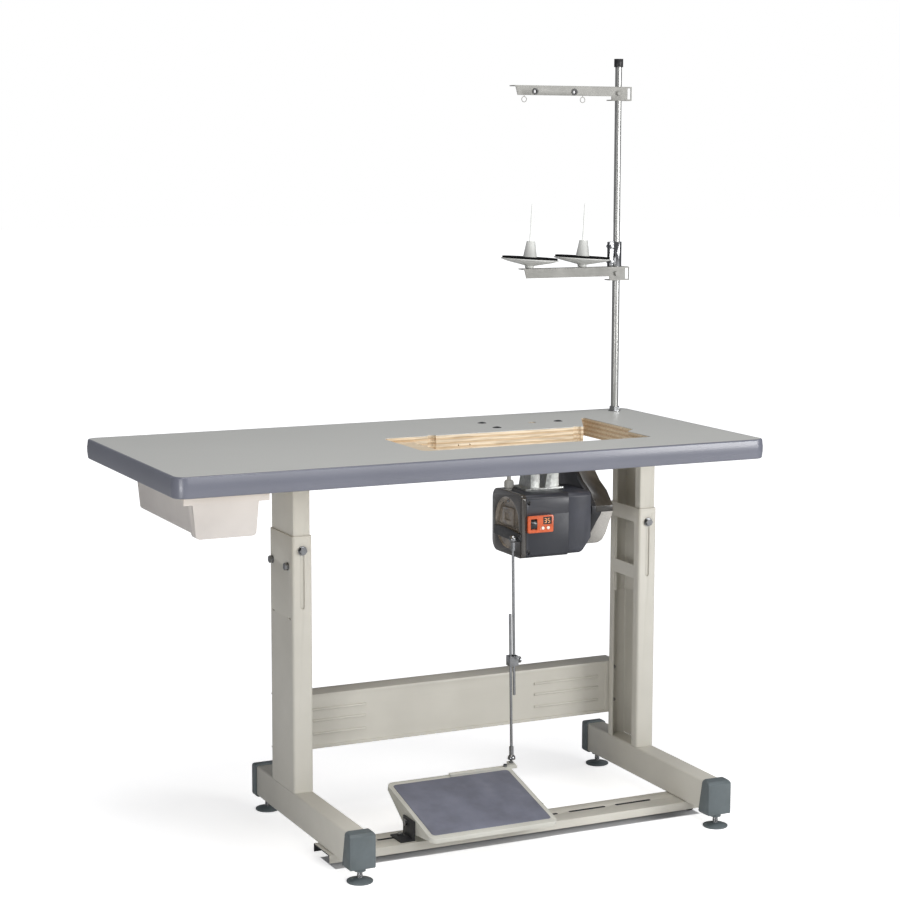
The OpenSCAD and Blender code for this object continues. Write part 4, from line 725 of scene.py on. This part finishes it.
class Pattern:
    """A Geometry Nodes tree that lays out what repeats, and is then kept as a plain mesh.

    Attributes:
        tree: The tree.
        entry: The node that brings in the tree's inputs.
        ids: The identifier of each named input.
    """

    def __init__(self, name: str) -> None:
        """Starts an empty tree with the seats that its copies may stand on."""
        self.tree = bpy.data.node_groups.new(name, "GeometryNodeTree")
        self.tree.interface.new_socket("Geometry", in_out="OUTPUT",
                                       socket_type="NodeSocketGeometry")
        self.entry = add_node(self.tree, "NodeGroupInput")
        self.ids: dict[str, str] = {}
        self.seats = self.take("Seats", "NodeSocketGeometry")

    def take(self, name: str, kind: str = "NodeSocketFloat") -> bpy.types.NodeSocket:
        """Adds a named input.

        Args:
            name: What the input is called.
            kind: The type of its socket.

        Returns:
            The socket that it feeds.
        """
        self.ids[name] = self.tree.interface.new_socket(
            name, in_out="INPUT", socket_type=kind).identifier
        return self.entry.outputs[name]

    def close(self, made: bpy.types.NodeSocket) -> None:
        """Ends the tree: its copies become real, move to their place and take a material.

        Args:
            made: The socket with the copies.
        """
        real = add_node(self.tree, "GeometryNodeRealizeInstances", {"Geometry": made})
        placed = add_node(self.tree, "GeometryNodeTransform", {
            "Geometry": real.outputs[0], "Translation": self.take("Place", "NodeSocketVector"),
            "Rotation": self.take("Turn", "NodeSocketVector")})
        painted = add_node(self.tree, "GeometryNodeSetMaterial", {
            "Geometry": placed.outputs[0], "Material": self.take("Material", "NodeSocketMaterial")})
        add_node(self.tree, "NodeGroupOutput", {"Geometry": painted.outputs[0]})

    def cast(self, name: str, sizes: dict[str, object],
             seats: tuple[Point, ...] = ()) -> bpy.types.Object:
        """Runs the tree once.

        Args:
            name: Name of the new piece.
            sizes: A value for each named input.
            seats: Points that the copies stand on.

        Returns:
            The piece, as a plain mesh at the origin.
        """
        ground = bpy.data.meshes.new(name + "_seats")
        ground.from_pydata(seats, [], [])
        carrier = bpy.data.objects.new(name + "_carrier", ground)
        bpy.context.scene.collection.objects.link(carrier)
        maker = carrier.modifiers.new("pattern", "NODES")
        maker.node_group = self.tree
        for label, value in sizes.items():
            maker[self.ids[label]] = value
        graph = bpy.context.evaluated_depsgraph_get()
        mesh = bpy.data.meshes.new_from_object(carrier.evaluated_get(graph), depsgraph=graph)
        carrier.modifiers.remove(maker)
        bpy.data.objects.remove(carrier)
        mesh.name = name
        piece = bpy.data.objects.new(name, mesh)
        bpy.context.scene.collection.objects.link(piece)
        return piece


def thread_pattern() -> Pattern:
    """Builds the tree that winds one ridge round a stud, as a screw thread.

    Returns:
        The tree, with the inputs Turns, Core, Rise and Ridge.
    """
    pattern = Pattern("screw_thread")
    core = pattern.take("Core")
    path = add_node(pattern.tree, "GeometryNodeCurveSpiral", {
        "Resolution": 16, "Rotations": pattern.take("Turns"), "Start Radius": core,
        "End Radius": core, "Height": pattern.take("Rise")})
    ridge = add_node(pattern.tree, "GeometryNodeCurvePrimitiveCircle", {
        "Resolution": 4, "Radius": pattern.take("Ridge")})
    swept = add_node(pattern.tree, "GeometryNodeCurveToMesh", {
        "Curve": path.outputs["Curve"], "Profile Curve": ridge.outputs["Curve"],
        "Fill Caps": True})
    pattern.close(swept.outputs["Mesh"])
    return pattern


def ring_pattern() -> Pattern:
    """Builds the tree that sets blocks round a circle, each facing outwards.

    Returns:
        The tree, with the inputs Count, Radius and Block.
    """
    pattern = Pattern("ring_of_blocks")
    circle = add_node(pattern.tree, "GeometryNodeMeshCircle", {
        "Vertices": pattern.take("Count", "NodeSocketInt"), "Radius": pattern.take("Radius")})
    outwards = add_node(pattern.tree, "FunctionNodeAlignRotationToVector", {
        "Vector": add_node(pattern.tree, "GeometryNodeInputPosition").outputs[0]}, axis="X")
    block = add_node(pattern.tree, "GeometryNodeMeshCube", {
        "Size": pattern.take("Block", "NodeSocketVector")})
    copies = add_node(pattern.tree, "GeometryNodeInstanceOnPoints", {
        "Points": circle.outputs["Mesh"], "Instance": block.outputs["Mesh"],
        "Rotation": outwards.outputs[0]})
    pattern.close(copies.outputs[0])
    return pattern


def screw_pattern() -> Pattern:
    """Builds the tree that sets one screw head on each seat.

    Returns:
        The tree, with the inputs Head and Facing.
    """
    pattern = Pattern("screw_heads")
    head = add_node(pattern.tree, "GeometryNodeObjectInfo", {
        "Object": pattern.take("Head", "NodeSocketObject")})
    copies = add_node(pattern.tree, "GeometryNodeInstanceOnPoints", {
        "Points": pattern.seats, "Instance": head.outputs["Geometry"],
        "Rotation": pattern.take("Facing", "NodeSocketVector")})
    pattern.close(copies.outputs[0])
    return pattern


def screw_head(radius_mm: float, height_mm: float) -> bpy.types.Object:
    """Makes one pan head with a cross recess, standing on the origin and facing up.

    Args:
        radius_mm: Radius of the head.
        height_mm: Height of the head.

    Returns:
        The head, which is the model for the copies.
    """
    quarter = SCREW_FACETS // 4
    arm = {0, 1, quarter - 1}
    web_share = 0.2
    form = bmesh.new()

    def ring(share: float, height: float, recess: bool = False) -> list[bmesh.types.BMVert]:
        """Adds one ring of points.

        Args:
            share: Its radius against the head's.
            height: Its height against the head's.
            recess: Whether it draws in between the arms of the cross.

        Returns:
            The points, in order round the head.
        """
        row = []
        for i in range(SCREW_FACETS):
            narrow = recess and i % quarter not in arm
            radius = radius_mm * MM * (web_share if narrow else share)
            turn = math.tau * i / SCREW_FACETS
            row.append(form.verts.new((radius * math.cos(turn), radius * math.sin(turn),
                                       height_mm * MM * height)))
        return row

    # From the foot up the wall, over the dome to its flat top, and down into the cross.
    rows = [ring(1.0, 0.0), ring(1.0, 0.35), ring(0.93, 0.7), ring(0.78, 0.94), ring(0.62, 1.0),
            ring(0.56, 1.0, True), ring(0.42, 0.4, True)]
    for low, high in zip(rows, rows[1:]):
        for i in range(SCREW_FACETS):
            j = (i + 1) % SCREW_FACETS
            form.faces.new((low[i], low[j], high[j], high[i]))
    form.faces.new(rows[-1])
    form.faces.new(list(reversed(rows[0])))
    return Workshop.stand(form, "screw_head_model")


# --------------------------------------------------------------- sub-assemblies


@dataclass
class SubAssembly:
    """A group of nodes that is finished together.

    Attributes:
        shop: Gives materials and rounded copies.
        rounded: Nodes with rounded edges, and the width of the rounding in millimetres.
        plain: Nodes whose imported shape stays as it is.
    """

    shop: Workshop
    rounded: dict[str, float] = field(default_factory=dict)
    plain: tuple[str, ...] = ()

    def finish_nodes(self) -> dict[str, bpy.types.Object]:
        """Dresses the plain nodes and makes the rounded ones.

        Returns:
            The rounded copy of each node that has one.
        """
        for node in self.plain:
            self.shop.dress(node)
        return {node: self.shop.soften(node, width_mm) for node, width_mm in self.rounded.items()}

    def make(self) -> None:
        """Makes everything in the group."""
        self.finish_nodes()


@dataclass
class TableTop(SubAssembly):
    """Plywood board with its laminate, edge moulding and fixings."""

    plain: tuple[str, ...] = ("table_board", "table_laminate", "edge_moulding", "table_screws")
    rounded: dict[str, float] = field(default_factory=lambda: {"drawer_rails": 0.4})


@dataclass
class Stand(SubAssembly):
    """Telescopic T-legs with their feet, the stretcher and the crossbar.

    Attributes:
        stud_low_mm: Height above which a foot is its zinc stud.
        thread_low_mm: Height of the thread's lower end.
        thread_rise_mm: Height of the thread, which stays below the cap when screwed in.
        pitch_mm: Pitch of the thread.
        ridge_mm: Half of the width of the thread's ridge.
        buffer_d_mm: Diameter of the rubber buffer under the crossbar.
        buffer_neck: Radius of the buffer's neck against the buffer's own.
        buffer_sunk_mm: How far the neck reaches into the crossbar.
        buffer_inset_mm: The buffer's distance from the crossbar's right end.
        buffer_back: How far back on the crossbar the buffer stands, against its depth.
        shade_inset_mm: How far in from the crossbar's front and back faces the painted shade inside it
            begins.
        shade_below_top_mm: How far down from the crossbar's upper face the painted shade begins.
    """

    stud_low_mm: float = 8.2
    thread_low_mm: float = 8.8
    thread_rise_mm: float = 5.5
    pitch_mm: float = 1.5
    ridge_mm: float = 0.45
    buffer_d_mm: float = 19.0
    buffer_neck: float = 0.45
    buffer_sunk_mm: float = 2.0
    buffer_inset_mm: float = 9.0
    buffer_back: float = 0.45
    shade_inset_mm: float = 2.4
    shade_below_top_mm: float = 0.3

    plain: tuple[str, ...] = ("frame_bolts", "height_bolts")
    rounded: dict[str, float] = field(default_factory=lambda: {
        "upper_columns": 0.8, "left_lower_column": 0.8, "right_lower_column": 0.8,
        "left_foot_beam": 1.2, "right_foot_beam": 1.2, "foot_end_caps": 1.5, "stretcher": 0.6,
        "crossbar": 0.6, "front_left_foot": 0.4, "front_right_foot": 0.4, "back_left_foot": 0.4,
        "back_right_foot": 0.4})

    def make(self) -> None:
        """Makes the legs, threads the feet, paints shade inside the crossbar and sets the rubber
        buffer.
        """
        copies = self.finish_nodes()
        thread = thread_pattern()
        for node in [name for name in copies if name.endswith("_foot")]:
            self.shop.repaint(copies[node], "zinc",
                              lambda centre, _: centre.z > self.stud_low_mm * MM)
            self.cut_thread(thread, node)
        low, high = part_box("crossbar")
        # Painted shade: the crossbar's inside and its slot walls take the black finish, so that the
        # slots look dark.
        self.shop.repaint(copies["crossbar"], "black_steel", lambda centre, _: (
            low.y + self.shade_inset_mm * MM < centre.y < high.y - self.shade_inset_mm * MM
            and centre.z < high.z - self.shade_below_top_mm * MM))
        self.set_buffer()

    def cut_thread(self, thread: Pattern, node: str) -> None:
        """Winds the visible thread round one foot's stud.

        Args:
            thread: The tree that winds a thread.
            node: The foot.
        """
        low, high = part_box(node)
        axis = (low + high) / 2
        stud = max(v.co.x for v in frame["nodes"][node].data.vertices if v.co.z > high.z - MM)
        piece = thread.cast(node + "_thread", {
            "Turns": self.thread_rise_mm / self.pitch_mm, "Core": stud - axis.x,
            "Rise": self.thread_rise_mm * MM, "Ridge": self.ridge_mm * MM,
            "Place": (axis.x, axis.y, self.thread_low_mm * MM),
            "Material": self.shop.material("zinc")})
        self.shop.adopt(piece, node, "zinc")

    def set_buffer(self) -> None:
        """Makes the black rubber buffer that stands under the crossbar's right end."""
        low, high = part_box("crossbar")
        radius = self.buffer_d_mm / 2
        neck = radius * self.buffer_neck
        top_mm = low.z / MM + self.buffer_sunk_mm
        # From the middle of the foot out to the rim, up its wall and in to the neck.
        piece = self.shop.turn("crossbar_buffer", [
            (0, 0.3), (radius - 1, 0.3), (radius, 1.2), (radius, 3), (radius - 2, 4.4),
            (neck, 5.2), (neck, top_mm), (0, top_mm)],
            (high.x - self.buffer_inset_mm * MM - radius * MM,
             low.y + self.buffer_back * (high.y - low.y), 0))
        self.shop.adopt(piece, "crossbar", "black_plastic")


@dataclass
class Treadle(SubAssembly):
    """Treadle with its mat and lever bar, and the pitman that pulls the speed lever."""

    plain: tuple[str, ...] = ("treadle_pivots", "ball_stud", "lower_rod", "upper_rod")
    rounded: dict[str, float] = field(default_factory=lambda: {
        "treadle_frame": 1.2, "treadle_mat": 1.6, "lever_bar": 0.8, "treadle_brackets": 0.5,
        "rod_clamp": 0.4, "clamp_screw": 0.3, "motor_lever": 0.4})


@dataclass
class Drawer(SubAssembly):
    """Moulded drawer under the left end."""

    rounded: dict[str, float] = field(default_factory=lambda: {"drawer_tub": 1.5})


class Segment(Enum):
    """One bar of a number display: its middle in cells from the digit's foot, and its turn."""

    TOP = (0.5, 2.0, False)
    UPPER_LEFT = (0.0, 1.5, True)
    UPPER_RIGHT = (1.0, 1.5, True)
    MIDDLE = (0.5, 1.0, False)
    LOWER_LEFT = (0.0, 0.5, True)
    LOWER_RIGHT = (1.0, 0.5, True)
    BOTTOM = (0.5, 0.0, False)


DIGITS: dict[str, tuple[Segment, ...]] = {
    "3": (Segment.TOP, Segment.UPPER_RIGHT, Segment.MIDDLE, Segment.LOWER_RIGHT, Segment.BOTTOM),
    "5": (Segment.TOP, Segment.UPPER_LEFT, Segment.MIDDLE, Segment.LOWER_RIGHT, Segment.BOTTOM),
}


@dataclass
class Motor(SubAssembly):
    """Servo motor with its bracket, panel and pulley guard.

    Attributes:
        window_mm: Width, depth and height of the display's window.
        window_at_mm: Its middle, from the panel's left, front and lower faces.
        number: The plain number on the display.
        number_at_mm: The first digit's lower left corner, from the same faces.
        digit_step_mm: Distance from one digit to the next.
        cell_mm: Height of half a digit, and a digit's width.
        bar_mm: Width, depth and gap of a bar of a digit.
        dish_r_mm: Radius of the dish in the end cap.
        rim_mm: Depth of the end cap's flat face, which the glaze leaves out.
        dish_deep_mm: Depth below that face to which the glaze goes.
        screw_mm: Radius and height of a screw's head.
        cover_screws_mm: Height of each cover screw above and below the shaft.
        cover_screw_at_mm: A cover screw's place, from the panel's left and rear faces.
        cap_screw_at_mm: The cap screw's place, from the cap's left face and above the shaft.
        knurl_count: Ridges round the tension knob.
        knurl_mm: Depth, width and height of a ridge.
        knurl_sunk_mm: How far a ridge's middle lies inside the knob.
        knurl_up_mm: Height of the ridges' middle on the knob.
        slots: Slots of the stator, and so of its coils.
        coil_mm: Size of a coil's head away from the shaft, round it and along it.
        coil_r_mm: Distance from the shaft to the middle of a coil's head.
    """

    window_mm: Point = (18.8, 0.24, 14.8)
    window_at_mm: Point = (43.5, 0.68, 23.5)
    number: str = "35"
    number_at_mm: Point = (37.1, 0.5, 19.2)
    digit_step_mm: float = 7.6
    cell_mm: float = 4.2
    bar_mm: Point = (1.1, 0.2, 0.6)
    dish_r_mm: float = 52.0
    rim_mm: float = 0.3
    dish_deep_mm: float = 20.0
    screw_mm: tuple[float, float] = (3.6, 2.0)
    cover_screws_mm: float = 49.5
    cover_screw_at_mm: tuple[float, float] = (4.0, 0.4)
    cap_screw_at_mm: tuple[float, float] = (3.2, 44.0)
    knurl_count: int = 28
    knurl_mm: Point = (0.7, 0.9, 9.0)
    knurl_sunk_mm: float = 0.1
    knurl_up_mm: float = 12.0
    slots: int = 12
    coil_mm: Point = (10.0, 17.0, 6.0)
    coil_r_mm: float = 43.0

    plain: tuple[str, ...] = (
        "stator", "motor_bearings", "rotor_shaft", "motor_pulley", "motor_mount_bolts",
        "speed_up_button", "speed_down_button")
    rounded: dict[str, float] = field(default_factory=lambda: {
        "motor_shell": 0.8, "motor_end_cap": 1.2, "motor_top_cover": 0.4, "motor_end_bell": 1.5,
        "motor_bracket": 0.5, "tension_knob": 0.8, "control_panel": 0.4, "rocker_switch": 0.3,
        "guard_backplate": 0.8, "guard_upper": 1.0, "guard_lower": 1.0})

    def make(self) -> None:
        """Makes the motor with its display, screws, knurl and coils."""
        copies = self.finish_nodes()
        self.light_display()
        self.paint_end_cap(copies["motor_end_cap"])
        self.drive_screws()
        self.knurl_knob()
        self.wind_coils()

    def light_display(self) -> None:
        """Sets the dark window and the number into the panel's recess."""
        low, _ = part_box("control_panel")
        form = bmesh.new()
        self.add_bar(form, low + Vector(self.window_at_mm) * MM, Vector(self.window_mm) * MM)
        window = self.shop.stand(form, "display_window")
        self.shop.adopt(window, "control_panel", "switch_black")
        width, depth, gap = self.bar_mm
        length = self.cell_mm - gap
        form = bmesh.new()
        for place, digit in enumerate(self.number):
            for segment in DIGITS[digit]:
                across, up, standing = segment.value
                middle = Vector(self.number_at_mm) + Vector((
                    place * self.digit_step_mm + across * self.cell_mm, 0, up * self.cell_mm))
                size = Vector((width, depth, length) if standing else (length, depth, width))
                self.add_bar(form, low + middle * MM, size * MM)
        digits = self.shop.stand(form, "display_digits")
        digits.data.materials.append(DIGIT_LIGHT.build())
        self.shop.adopt(digits, "control_panel", "panel_orange")

    @staticmethod
    def add_bar(form: bmesh.types.BMesh, middle: Vector, size: Vector) -> None:
        """Adds one block with chamfered edges to a form.

        Args:
            form: The form.
            middle: The block's middle in metres.
            size: Its length along each axis in metres.
        """
        chamfer = min(size) / 4
        made = bmesh.ops.create_cube(form, size=1.0,
                                     matrix=Matrix.LocRotScale(middle, None, size))
        edges = {edge for vert in made["verts"] for edge in vert.link_edges}
        bmesh.ops.bevel(form, geom=list(edges), offset=chamfer, segments=1, affect="EDGES")

    def paint_end_cap(self, cap: bpy.types.Object) -> None:
        """Gives the dish of the end cap, with the boss in it, its smoky glaze.

        Args:
            cap: The rounded copy of the end cap.
        """
        low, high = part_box("motor_end_cap")
        shell_low, shell_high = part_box("motor_shell")
        axis_y = (low.y + high.y) / 2
        axis_z = (shell_low.z + shell_high.z) / 2

        def in_dish(centre: Vector, _: Vector) -> bool:
            """Says whether a face lies in the dish, behind the cap's flat face.

            Args:
                centre: The face's middle.

            Returns:
                Whether it does.
            """
            off = math.hypot(centre.y - axis_y, centre.z - axis_z)
            deep = centre.x - low.x
            return off < self.dish_r_mm * MM and self.rim_mm * MM < deep < self.dish_deep_mm * MM

        self.shop.repaint(cap, "cap_glaze", in_dish)

    def drive_screws(self) -> None:
        """Drives the cover's screws and the bright one over the dish."""
        heads = screw_pattern()
        model = screw_head(*self.screw_mm)
        low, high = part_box("motor_shell")
        panel_low, panel_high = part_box("control_panel")
        cap_low, cap_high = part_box("motor_end_cap")
        shaft_z = (low.z + high.z) / 2
        in_x, in_y = self.cover_screw_at_mm
        pockets = tuple((panel_low.x + in_x * MM, panel_high.y + in_y * MM,
                         shaft_z + side * self.cover_screws_mm * MM) for side in (-1, 1))
        self.shop.adopt(heads.cast("cover_screws", {
            "Head": model, "Facing": (math.pi / 2, 0, 0),
            "Material": self.shop.material("black_plastic")}, pockets),
            "motor_shell", "black_plastic")
        in_x, up = self.cap_screw_at_mm
        top = ((cap_low.x + in_x * MM, (cap_low.y + cap_high.y) / 2, shaft_z + up * MM),)
        self.shop.adopt(heads.cast("cap_screw", {
            "Head": model, "Facing": (0, -math.pi / 2, 0),
            "Material": self.shop.material("zinc")}, top),
            "motor_end_cap", "zinc")
        bpy.data.objects.remove(model)

    def knurl_knob(self) -> None:
        """Sets the ridges of the grip round the tension knob."""
        low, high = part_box("tension_knob")
        middle = (low + high) / 2
        radius = (high.x - low.x) / 2
        piece = ring_pattern().cast("knob_knurl", {
            "Count": self.knurl_count, "Radius": radius - self.knurl_sunk_mm * MM,
            "Block": Vector(self.knurl_mm) * MM,
            "Place": (middle.x, middle.y, low.z + self.knurl_up_mm * MM),
            "Material": self.shop.material("knob_grey")})
        self.shop.adopt(piece, "tension_knob", "knob_grey")

    def wind_coils(self) -> None:
        """Sets the heads of the coils on both faces of the stator."""
        low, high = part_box("stator")
        middle = (low + high) / 2
        ring = ring_pattern()
        out = self.coil_mm[-1] / 2 * MM
        for name, x in (("coil_heads_left", low.x - out), ("coil_heads_right", high.x + out)):
            piece = ring.cast(name, {
                "Count": self.slots, "Radius": self.coil_r_mm * MM,
                "Block": Vector(self.coil_mm) * MM,
                "Turn": (0, math.pi / 2, 0), "Place": (x, middle.y, middle.z),
                "Material": self.shop.material("copper")})
            self.shop.adopt(piece, "stator", "copper")


@dataclass
class ThreadStand(SubAssembly):
    """Pole with the spool carrier and the thread guide.

    Attributes:
        foam_edge_mm: Rounding of a foam pad's edges.
        arm_edge_mm: Rounding of the guide arm's edges.
        arm_cell_mm: Length of the cells that the guide arm's long faces are cut into.
    """

    plain: tuple[str, ...] = ("pole_lower", "pole_upper", "pole_base_nut", "spool_arm",
                              "spool_dishes", "spool_pins", "guide_grommets")
    foam_edge_mm: float = 1.1
    arm_edge_mm: float = 0.3
    arm_cell_mm: float = 7.3
    rounded: dict[str, float] = field(default_factory=lambda: {
        "pole_coupling": 0.5, "pole_cap": 0.6})

    def make(self) -> None:
        """Makes the pole, its arms and the foam pads of the dishes."""
        self.finish_nodes()
        self.shop.soften("guide_arm", self.arm_edge_mm, cell_mm=self.arm_cell_mm)
        pads = self.shop.soften("spool_foams", self.foam_edge_mm, segments=4)
        LOG.info("%s: declared as foam", pads.name)


# --------------------------------------------------------------------- studio


@dataclass(frozen=True)
class SoftBox:
    """A rectangular lamp that the camera doesn't see.

    Attributes:
        name: Name of the lamp.
        place: Where it hangs.
        aim: The point that it faces.
        size: Its width and height.
        watts: Its power.
    """

    name: str
    place: Point
    aim: Point
    size: tuple[float, float]
    watts: float

    def hang(self) -> None:
        """Hangs the lamp in the scene."""
        light = bpy.data.lights.new(self.name, "AREA")
        light.shape = "RECTANGLE"
        light.size, light.size_y = self.size
        light.energy = self.watts
        lamp = bpy.data.objects.new(self.name, light)
        lamp.location = self.place
        lamp.visible_camera = False
        towards = Vector(self.aim) - Vector(self.place)
        lamp.rotation_euler = towards.to_track_quat("-Z", "Y").to_euler()
        bpy.context.scene.collection.objects.link(lamp)


SOFT_BOXES = (
    SoftBox("top_box", place=(-0.2, -0.9, 3.3), aim=(0, 0, 0.6), size=(1.8, 1.8), watts=50),
    SoftBox("left_box", place=(-1.9, -1.7, 0.5), aim=(-0.45, 0, 0.25), size=(0.8, 0.8), watts=15),
    SoftBox("right_box", place=(2.4, -2.8, 1.3), aim=(0.35, 0, 0.4), size=(1.2, 1.2), watts=52),
    SoftBox("strip_box", place=(0.95, -3.0, 1.32), aim=(-0.1, -0.3, 0.75), size=(1.9, 0.26),
            watts=20),
)


@dataclass
class Studio:
    """Pale floor, white room, the soft boxes and the camera.

    Attributes:
        eye: The camera's place.
        turn: Its turn about X, Y and Z in degrees.
        lens_mm: Its focal length.
        sensor_mm: Width of its sensor.
        reach: Distance to which it sees.
        shift: Shift of its lens, in frame widths.
        floor_size: Length of the floor's sides.
        fill: Strength of the light that the room gives.
        paper_glow: How far the floor near the table is lifted towards white.
        glow_from: Distance from the middle at which that starts to rise to full white.
        glow_to: Distance at which it has.
        covered: Share of the crossbar's size under which the floor stays dark.
    """

    eye: Point = (-1.7197, -3.7342, 1.3409)
    turn: Point = (82.468, -0.183, -25.681)
    lens_mm: float = 85.716
    sensor_mm: float = 36.0
    reach: float = 100.0
    shift: tuple[float, float] = (-0.01424, -0.02251)
    floor_size: float = 60.0
    fill: float = 0.24
    paper_glow: float = 0.62
    glow_from: float = 1.0
    glow_to: float = 3.5
    covered: float = 0.97

    def set_camera(self) -> None:
        """Places the camera and makes it the scene's own."""
        lens = bpy.data.cameras.new("camera")
        lens.lens = self.lens_mm
        lens.sensor_width = self.sensor_mm
        lens.shift_x, lens.shift_y = self.shift
        lens.clip_end = self.reach
        camera = bpy.data.objects.new("camera", lens)
        camera.location = self.eye
        camera.rotation_euler = [math.radians(a) for a in self.turn]
        bpy.context.scene.collection.objects.link(camera)
        bpy.context.scene.camera = camera

    def lay_floor(self) -> None:
        """Lays the plain pale floor."""
        form = bmesh.new()
        bmesh.ops.create_grid(form, x_segments=1, y_segments=1, size=self.floor_size / 2)
        floor = Workshop.stand(form, "floor")
        floor.data.materials.append(self.paper())

    def paper(self) -> bpy.types.Material:
        """Builds the floor's paper, which looks evenly white except under the crossbar.

        Returns:
            The material.
        """
        material = bpy.data.materials.new("studio_paper_white")
        material.use_nodes = True
        tree = material.node_tree
        tree.nodes.clear()
        low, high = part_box("crossbar")
        middle = (low + high) / 2
        half = (high - low) / 2
        place = add_node(tree, "ShaderNodeTexCoord").outputs["Object"]
        along = add_node(tree, "ShaderNodeVectorMath", {0: place, 1: (middle.x, middle.y, 0)},
                         operation="SUBTRACT")
        share = add_node(tree, "ShaderNodeVectorMath", {
            0: along.outputs[0], 1: (half.x, half.y, 1)}, operation="DIVIDE")
        sides = add_node(tree, "ShaderNodeSeparateXYZ", {"Vector": share.outputs[0]})
        outside = [add_node(tree, "ShaderNodeMath", {
            0: add_node(tree, "ShaderNodeMath", {0: sides.outputs[axis]},
                        operation="ABSOLUTE").outputs[0], 1: self.covered},
            operation="GREATER_THAN").outputs[0] for axis in ("X", "Y")]
        clear = add_node(tree, "ShaderNodeMath", {0: outside[0], 1: outside[1]}, operation="MAXIMUM")
        seen = add_node(tree, "ShaderNodeLightPath").outputs["Is Camera Ray"]
        shown = add_node(tree, "ShaderNodeMath", {0: clear.outputs[0], 1: seen}, operation="MULTIPLY")
        reach = add_node(tree, "ShaderNodeVectorMath", {0: place}, operation="LENGTH")
        spread = add_node(tree, "ShaderNodeMapRange", {
            "Value": reach.outputs["Value"], "From Min": self.glow_from,
            "From Max": self.glow_to, "To Min": self.paper_glow, "To Max": 1.0})
        glow = add_node(tree, "ShaderNodeMath", {0: shown.outputs[0], 1: spread.outputs["Result"]},
                        operation="MULTIPLY")
        shader = add_node(tree, "ShaderNodeBsdfPrincipled", {
            "Base Color": linear("#F2F2F2"), "Roughness": 0.95, "Emission Color": linear("#FFFFFF"),
            "Emission Strength": glow.outputs[0]})
        add_node(tree, "ShaderNodeOutputMaterial", {"Surface": shader.outputs["BSDF"]})
        return material

    def light_room(self) -> None:
        """Sets the white room and hangs the soft boxes."""
        world = bpy.data.worlds.new("room")
        world.use_nodes = True
        tree = world.node_tree
        tree.nodes.clear()
        seen = add_node(tree, "ShaderNodeLightPath").outputs["Is Camera Ray"]
        fill = add_node(tree, "ShaderNodeBackground", {
            "Color": linear("#F6F8FF"), "Strength": self.fill})
        paper = add_node(tree, "ShaderNodeBackground", {
            "Color": linear("#FFFFFF"), "Strength": 1.0})
        air = add_node(tree, "ShaderNodeMixShader", {
            0: seen, 1: fill.outputs[0], 2: paper.outputs[0]})
        add_node(tree, "ShaderNodeOutputWorld", {"Surface": air.outputs[0]})
        bpy.context.scene.world = world
        for box in SOFT_BOXES:
            box.hang()
        bpy.context.scene.view_settings.view_transform = "Standard"


def main() -> None:
    """Builds the studio and each sub-assembly in turn."""
    logging.basicConfig(level=logging.INFO, format="%(name)s: %(message)s")
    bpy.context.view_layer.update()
    studio = Studio()
    studio.set_camera()
    studio.lay_floor()
    studio.light_room()
    shop = Workshop()
    for group in (TableTop, Stand, Treadle, Drawer, Motor, ThreadStand):
        group(shop).make()


if __name__ == "__main__":
    main()
